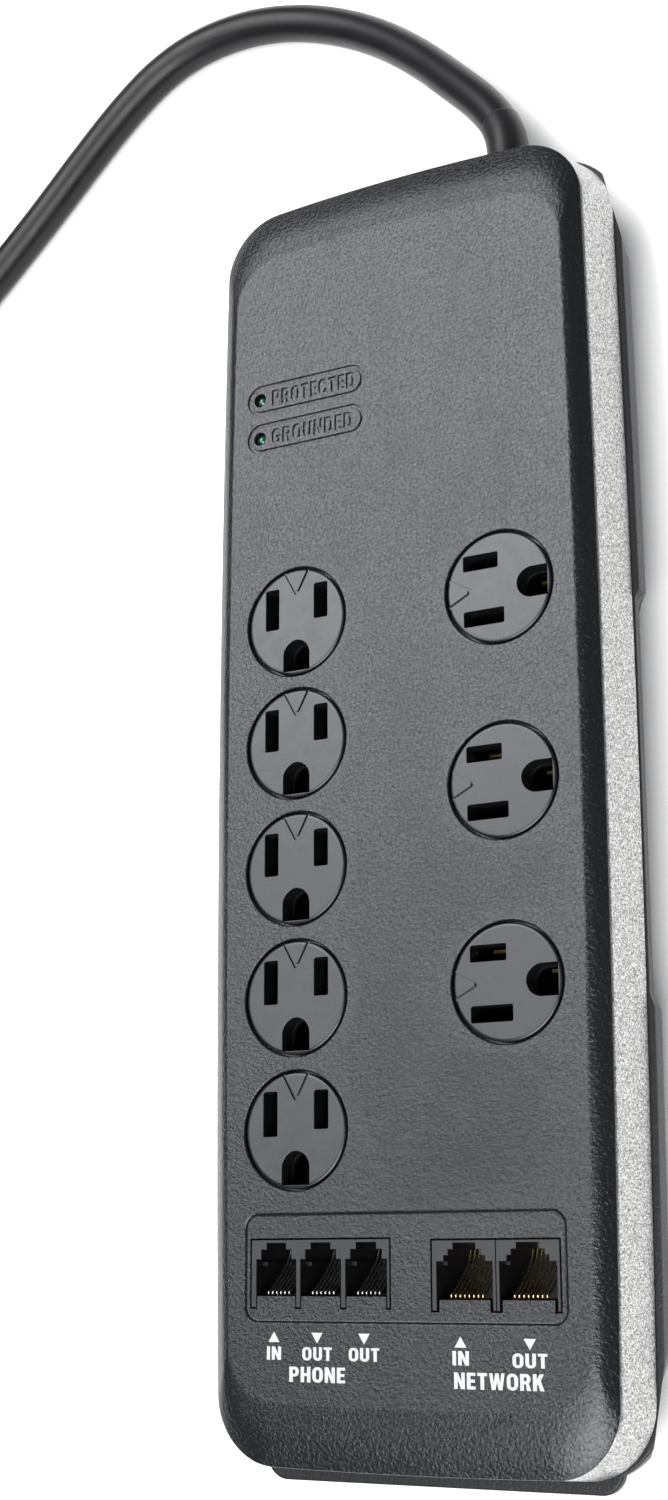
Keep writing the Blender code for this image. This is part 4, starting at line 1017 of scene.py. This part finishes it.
def socket_mouths(bm):
    lip = [(26.0, 0), (27.3, 0), (27.5, 0.2), (40, 0.2)]
    stack(bm, slot_outline(-6.35, -1.4, 8.6, 1.95), lip)
    stack(bm, slot_outline(6.35, -0.1, 8.6, 1.95), lip)
    stack(bm, [(x * 0.93, (y + 7.95) * 0.93 - 7.95 + 0.15) for x, y in ground_outline()], lip)


cut(block, tool("socket_mouths", socket_mouths))
cut(block, tool("socket_cavities", boxes(((-8.65, -1.7, 0), (-4.05, 8.9, 26.3)), ((4.05, -1.7, 0), (8.65, 8.9, 26.3)),
                                         ((-4.1, -12.2, 0), (4.1, -3.7, 26.3)))))
settle(block, 32)
block_mesh = block.data
bpy.data.objects.remove(block)
for i, (x, y, turn) in enumerate(OUTLETS, 1):
    for name, mesh, node, body, mat, slot in ((f"outlet_disc_{i}", disc_mesh, f"safety_disc_{i}", f"disc_{i}", M_DISC, "disc_plastic"),
                                              (f"outlet_socket_{i}", block_mesh, f"socket_block_{i}", "casing", M_SOCKET, "insulator")):
        mesh = mesh.copy()
        mesh.transform(Matrix.Translation(Vector((x, y, 0)) * MM) @ Matrix.Rotation(math.radians(turn), 4, "Z"))
        obj = bpy.data.objects.new(name, mesh)
        pieces.objects.link(obj)
        give(obj, mat)
        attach(obj, body)
        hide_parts(node)

# ------------------------------------------------------------------ phone and network jacks
def jack_outline(cx, width, y_top, y_bottom, steps):
    points = []
    y = y_top
    for w, h in steps:
        points += [(cx + w / 2, y), (cx + w / 2, y - h)]
        y -= h
    points += [(cx + width / 2, y), (cx + width / 2, y_bottom)]
    return points + [(2 * cx - x, py) for x, py in reversed(points)]


for name, node, block, centres, width, y_top, steps, wires, mat, splits in (
        ("phone_jacks", "phone_jack_block", PHONE_BLOCK, PHONE_X, PHONE_W, -98.7, ((4.7, 1.4), (7.4, 2.0)), 6,
         M_PALE_CONTACT, ()),
        ("network_jacks", "network_jack_block", NETWORK_BLOCK, NETWORK_X, NETWORK_W, -99.0,
         ((5.0, 1.3), (7.3, 1.2), (9.3, 1.2)), 8, M_GOLD, (21.3,))):
    bm = bmesh.new()
    stack(bm, [(block[0], block[1]), (block[2], block[1]), (block[2], block[3]), (block[0], block[3])],
          [(10.9, 0), (31.28, 0), (31.4, -0.12)])
    obj = obj_from(name, bm, M_JACK)
    for k, cx in enumerate(centres):
        cut(obj, tool(f"{name}_mouth_{k}", lambda bm: stack(bm, jack_outline(cx, width, y_top, -114.3, steps), [
            (17.5, 0), (31.3, 0), (31.4, 0.1), (40.0, 0.1)])))
    for k, x in enumerate(splits):
        cut(obj, tool(f"{name}_split_{k}", boxes(((x - 0.12, -118.0, 30.6), (x + 0.12, -95.0, 40.0)))))
    settle(obj, 32)
    # latch shelves at both sides inside each mouth
    for k, cx in enumerate(centres):
        w = width / 2 - 0.02
        bm = bmesh.new()
        for sx in (-1, 1):
            a, b = sorted((cx + sx * w, cx + sx * (w - 1.2)))
            stack(bm, [(a, -103.4), (b, -103.4), (b, -102.6), (a, -102.6)], [(18.0, 0), (28.8, 0)])
        comb = obj_from(f"{name}_rails_{k + 1}", bm, M_JACK)
        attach(comb, "casing")
    give(obj, M_JACK)
    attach(obj, "casing")
    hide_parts(node)
    prefix = "phone" if wires == 6 else "network"
    for k, cx in enumerate(centres):
        bm = bmesh.new()
        half = (wires - 1) * 1.02 / 2
        shift = 0.85 if wires == 6 else 0.3
        for j in range(wires):
            wx = cx - half + 1.02 * j
            path = [(-110.35, 18.2), (-110.35, 29.6), (-110.15, 30.1), (-109.8, 30.2), (-109.5, 29.9), (-109.1, 28.9),
                    (-106.3, 25.2), (-103.2, 22.0), (-101.6, 21.1), (-98.4, 20.2)]
            r = 0.23
            rings = []
            path = [(py + shift, pz) for py, pz in path]
            for i, (py, pz) in enumerate(path):
                a = Vector(path[min(i + 1, len(path) - 1)]) - Vector(path[max(i - 1, 0)])
                a.normalize()
                normal = Vector((-a.y, a.x))
                ring = []
                for q in range(8):
                    t = math.radians(45 * q + 22.5)
                    ring.append(bm.verts.new(Vector((wx + r * math.cos(t), py + normal.x * r * math.sin(t),
                                                     pz + normal.y * r * math.sin(t))) * MM))
                rings.append(ring)
            rings_to_faces(bm, rings)
        obj = obj_from(f"{prefix}_wires_{k + 1}", bm, mat, pieces, 50)
        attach(obj, "casing")
        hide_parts(f"{prefix}_contacts_{k + 1}")

# ------------------------------------------------------------------ indicator lights
for (x, y), node in zip(LED_XY, ("led_protected", "led_grounded")):
    dome = [(0, 31.62)] + [(1.3 * math.sin(math.radians(a)), 30.5 + 1.12 * math.cos(math.radians(a))) for a in range(12, 91, 13)]
    obj = turned(node.replace("led_", "lamp_"), dome + [(1.3, 14.0), (2.3, 14.0), (2.3, 10.9), (0, 10.9)], M_LED, 32, 50, (x, y, 0))
    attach(obj, "casing")
    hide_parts(node)

# ------------------------------------------------------------------ cord exit, tie and plug
boot_route = resample(route, None, 0.0, BOOT_OUT, 53)
inner = [(GLAND[0], y, GLAND[1]) for y in (131.0, 131.3, 142.3, 142.5, 144.8, 145.0, 147.2)]
inner_r = [4.3, 4.6, 4.6, 6.5, 6.5, 5.4, 5.4]
boot_r = []
for i, t in enumerate(np.linspace(0, 1, len(boot_route))):
    r = 5.15 - 0.32 * t
    if t > 0.97:
        r -= 0.25 * (t - 0.97) / 0.03
    boot_r.append(r)
relief = tube("cord_boot", inner + [tuple(p) for p in boot_route], 2.0, M_PLUG, inner_r + boot_r, 8)
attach(relief, "casing")
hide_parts("strain_relief")

# strap round the coil's section
angle = math.radians(150)
r_in, r_out = R_IN - CORD_D / 2, R_OUT + CORD_D / 2 + 0.2
half_r, half_z = (r_out - r_in) / 2, 18.9 / 2
bm = bmesh.new()
outside = rounded_rect(-half_r - 1.05, -half_z - 1.05, half_r + 1.05, half_z + 1.05, 3.0, 10)
inner_outline = rounded_rect(-half_r - 0.3, -half_z - 0.3, half_r + 0.3, half_z + 0.3, 2.3, 10)
rings = []
for grow, z in ((-0.25, -4.0), (0.0, -3.75), (0.0, 3.75), (-0.25, 4.0)):
    rings.append([bm.verts.new(Vector((x, y, z)) * MM) for x, y in (grown(outside, grow) if grow else outside)])
rings.append([bm.verts.new(Vector((x, y, 4.0)) * MM) for x, y in inner_outline])
rings.append([bm.verts.new(Vector((x, y, -4.0)) * MM) for x, y in inner_outline])
rings_to_faces(bm, rings, loop=True)
out = Vector((math.cos(angle), math.sin(angle), 0))
tie_matrix = Matrix.Identity(4)
tie_matrix.col[0][:3] = out
tie_matrix.col[1][:3] = Vector((0, 0, 1))
tie_matrix.col[2][:3] = out.cross(Vector((0, 0, 1)))
tie_matrix.translation = (Vector((COIL[0], COIL[1], 1.4 + half_z)) + out * (r_in + r_out) / 2) * MM
bmesh.ops.transform(bm, matrix=tie_matrix, verts=bm.verts)
tie = obj_from("coil_strap", bm, M_TIE)
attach(tie, "casing")
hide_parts("cord_tie")

PLUG_Z, PLUG_Y0, PLUG_FACE_Y = 12.9, BOOT_TIP - 22.0, BOOT_TIP - 55.0
sections = [(BOOT_TIP, 4.95, 4.95, 4.9), (BOOT_TIP - 0.3, 5.2, 5.2, 5.1)]
for k in range(5):
    y = BOOT_TIP - 2.2 - 3.5 * k
    r = 5.45 + 0.36 * k
    sections += [(y, r, r, r - 0.1), (y - 0.25, r - 0.75, r - 0.75, r - 0.85), (y - 1.0, r - 0.7, r - 0.7, r - 0.8),
                 (y - 1.25, r + 0.15, r + 0.15, r + 0.05)]
sections += [(PLUG_Y0 + 2.0, 7.0, 7.0, 6.6), (PLUG_Y0, 7.9, 7.9, 7.1), (PLUG_Y0 - 2.0, 9.2, 9.1, 7.4),
             (PLUG_Y0 - 4.0, 10.7, 10.3, 7.0), (PLUG_Y0 - 6.0, 11.8, 11.2, 6.4), (PLUG_Y0 - 8.0, 12.4, 11.6, 6.0),
             (PLUG_Y0 - 12.0, 12.75, 11.95, 5.8), (PLUG_Y0 - 19.0, 13.2, 12.3, 5.5), (PLUG_Y0 - 26.0, 13.35, 12.45, 5.2),
             (PLUG_FACE_Y + 1.6, 13.4, 12.5, 5.0), (PLUG_FACE_Y + 0.8, 13.25, 12.35, 4.9),
             (PLUG_FACE_Y + 0.2, 12.9, 12.0, 4.6), (PLUG_FACE_Y, 12.4, 11.5, 4.2)]
bm = bmesh.new()
rings = [[bm.verts.new(Vector((LEAD_X + x, y, PLUG_Z + z)) * MM) for x, z in rounded_rect(-a, -b, a, b, r, 10)]
         for y, a, b, r in sections]
rings_to_faces(bm, rings)
plug = obj_from("mains_plug", bm, M_PLUG)


def grips(bm):
    for sz in (1, -1):
        for k in range(5):
            y = PLUG_Y0 - 11.0 - 3.0 * k
            z0, z1 = sorted((PLUG_Z + sz * 11.35, PLUG_Z + sz * 14.0))
            stack(bm, rounded_rect(LEAD_X - 7.0, y - 0.7, LEAD_X + 7.0, y + 0.7, 0.65, 6), [(z0, 0), (z1, 0)])


cut(plug, tool("plug_grips", grips))
settle(plug, 40)
give(plug, M_PLUG)
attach(plug, "casing")
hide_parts("plug_body")

BLADE_X = LEAD_X + 4.0
for name, node, dz, wide in (("blade_line", "plug_blade_line", 6.35, 6.3), ("blade_neutral", "plug_blade_neutral", -6.35, 7.9)):
    bm = bmesh.new()
    w = wide / 2
    outline = [(-w, 0), (w, 0), (w, 15.2), (w - 0.35, 15.9), (w - 1.3, 17.0), (w - 1.7, 17.2), (-w + 1.7, 17.2),
               (-w + 1.3, 17.0), (-w + 0.35, 15.9), (-w, 15.2)]
    stack(bm, outline, [(-0.76, -0.12), (-0.64, 0), (0.64, 0), (0.76, -0.12)])
    obj = obj_from(name, bm, M_NICKEL)
    cut(obj, tool(name + "_hole", lambda bm: stack(bm, circle(0, 11.9, 1.6, 32), [(-2, 0), (2, 0)])))
    settle(obj, 32)
    obj.data.transform(Matrix.Translation(Vector((BLADE_X, PLUG_FACE_Y - 0.3, PLUG_Z + dz)) * MM)
                       @ Matrix.Rotation(math.radians(180), 4, "Z"))
    give(obj, M_NICKEL)
    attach(obj, "casing")
    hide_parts(node)
tip = [(2.38 * math.cos(math.radians(a)), 18.6 + 2.38 * math.sin(math.radians(a))) for a in (90, 75, 60, 45, 30, 15, 0)]
obj = turned("earth_pin", [(0.0, tip[0][1])] + tip[1:] + [(2.38, 0.0), (0, 0.0)], M_NICKEL, 32, 40,
             (BLADE_X - 11.9, PLUG_FACE_Y - 0.3, PLUG_Z), Matrix.Rotation(math.radians(90), 4, "X"))
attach(obj, "casing")
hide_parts("plug_ground_pin")

# ------------------------------------------------------------------ switch
sx, sy, sz = SWITCH
bm = bmesh.new()
rings = []
for y, g in ((124.0, -0.4), (124.4, 0.0), (147.2, 0.0), (147.5, -0.12), (147.6, -0.4)):
    rings.append([bm.verts.new(Vector((x, y, z)) * MM) for x, z in
                  rounded_rect(sx - 10.7 - g, sz - 7.4 - g, sx + 10.7 + g, sz + 7.4 + g, 1.0, 6)])
rings_to_faces(bm, rings)
housing = obj_from("switch_housing", bm, M_ROCKER)
bm = bmesh.new()
rings = []
for y, g in ((138.6, 0.0), (147.2, 0.0), (147.6, 0.35), (150.0, 0.35)):
    rings.append([bm.verts.new(Vector((x, y, z)) * MM) for x, z in
                  rounded_rect(sx - 9.4 - g, sz - 5.9 - g, sx + 9.4 + g, sz + 5.9 + g, 0.5, 5)])
rings_to_faces(bm, rings)
cut(housing, obj_from("switch_pocket", bm, None, tools))
settle(housing, 32)
give(housing, M_ROCKER)
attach(housing, "casing")
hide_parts("switch_body")

bm = bmesh.new()
face = [(-8.6, 2.0), (-8.5, 2.18), (-8.3, 2.2)]
for i in range(17):
    u = -8.0 + 16.0 * i / 16
    face.append((u, 0.5 + 1.68 * (abs(u) / 8.3) ** 1.6))
face += [(8.3, 2.2), (8.5, 2.18), (8.6, 2.0), (8.6, -2.2), (-8.6, -2.2)]
stack(bm, face[::-1], [(-5.5, -0.2), (-5.3, 0), (5.3, 0), (5.5, -0.2)])
rocker = obj_from("rocker_cap", bm, M_ROCKER)


def place_rocker(obj):
    obj.data.transform(Matrix.Translation(Vector((sx, sy, sz)) * MM) @ Matrix.Rotation(math.radians(11), 4, "Z"))


place_rocker(rocker)
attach(rocker, "rocker")
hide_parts("switch_rocker")
for name, u in (("mark_on", -5.2), ("mark_off", 5.2)):
    bm = bmesh.new()
    if name == "mark_on":
        pts = [(-0.28, -1.9), (0.28, -1.9), (0.28, 1.9), (-0.28, 1.9)]
        shapes = [pts]
        stack(bm, pts, [(0.0, 0), (0.04, 0)])
    else:
        outer_c, inner_c = circle(0, 0, 1.8, 32), circle(0, 0, 1.3, 32)
        rings = []
        for pts, z in ((outer_c, 0.0), (outer_c, 0.04), (inner_c, 0.04), (inner_c, 0.0)):
            rings.append([bm.verts.new(Vector((x, y, z)) * MM) for x, y in pts])
        rings_to_faces(bm, rings, loop=True)
    lift = 0.5 + 1.68 * (abs(u) / 8.3) ** 1.6
    slope = math.atan(1.68 * 1.6 * (abs(u) / 8.3) ** 0.6 / 8.3) * (1 if u > 0 else -1)
    # lay the mark on the curved face, which looks along +Y
    local = (Matrix.Translation(Vector((u, lift, 0)) * MM) @ Matrix.Rotation(slope, 4, "Z")
             @ Matrix(((1, 0, 0, 0), (0, 0, 1, 0), (0, -1, 0, 0), (0, 0, 0, 1))))
    bmesh.ops.transform(bm, matrix=local, verts=bm.verts)
    obj = obj_from(name, bm, M_INK, pieces, 0)
    place_rocker(obj)
    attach(obj, "rocker")

# ------------------------------------------------------------------ screws and feet
for i, (x, y) in enumerate(SCREWS, 1):
    obj = turned(f"screw_{i}", [(0, 15.6), (0.5, 15.6), (1.4, 14.2), (1.4, 3.75), (2.85, 3.75), (3.0, 3.6),
                                (3.0, 2.95), (2.75, 2.55), (2.2, 2.34), (1.2, 2.3), (0, 2.3)], M_STEEL, 32)
    cross = tool(f"screw_cross_{i}", lambda bm: stack(bm, [(0.32, 0.32), (0.32, 1.75), (-0.32, 1.75), (-0.32, 0.32),
        (-1.75, 0.32), (-1.75, -0.32), (-0.32, -0.32), (-0.32, -1.75), (0.32, -1.75), (0.32, -0.32), (1.75, -0.32), (1.75, 0.32)],
        [(1.5, 0.0), (2.9, 0.0), (3.4, -0.12)]))
    cut(obj, cross)
    settle(obj, 32)
    obj.data.transform(Matrix.Translation(Vector((x, y, 0)) * MM) @ Matrix.Rotation(math.radians(17 * i), 4, "Z"))
    give(obj, M_STEEL)
    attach(obj, "casing")
    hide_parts(f"case_screw_{i}")
for i, (x, y) in enumerate(FEET, 1):
    obj = turned(f"foot_{i}", [(0, 2.1), (6.0, 2.1), (6.0, 0.75), (5.85, 0.3), (5.5, 0.05), (5.2, 0.0), (4.5, 0.0),
                               (4.35, 0.12), (4.05, 0.12), (3.9, 0.0), (3.0, 0.0), (2.85, 0.12), (2.55, 0.12), (2.4, 0.0), (0, 0.0)],
                 M_RUBBER, 48, 30, (x, y, 0))
    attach(obj, "casing")
    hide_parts(f"rubber_foot_{i}")

# ------------------------------------------------------------------ carried-over CAD nodes
CARRIED = {"bar": M_BRASS, "board": M_BOARD, "varistor": M_MOV, "fuse": M_FUSE, "choke": M_CHOKE}
for name, node in frame["nodes"].items():
    for key, mat in CARRIED.items():
        if key in name:
            give(node, mat)
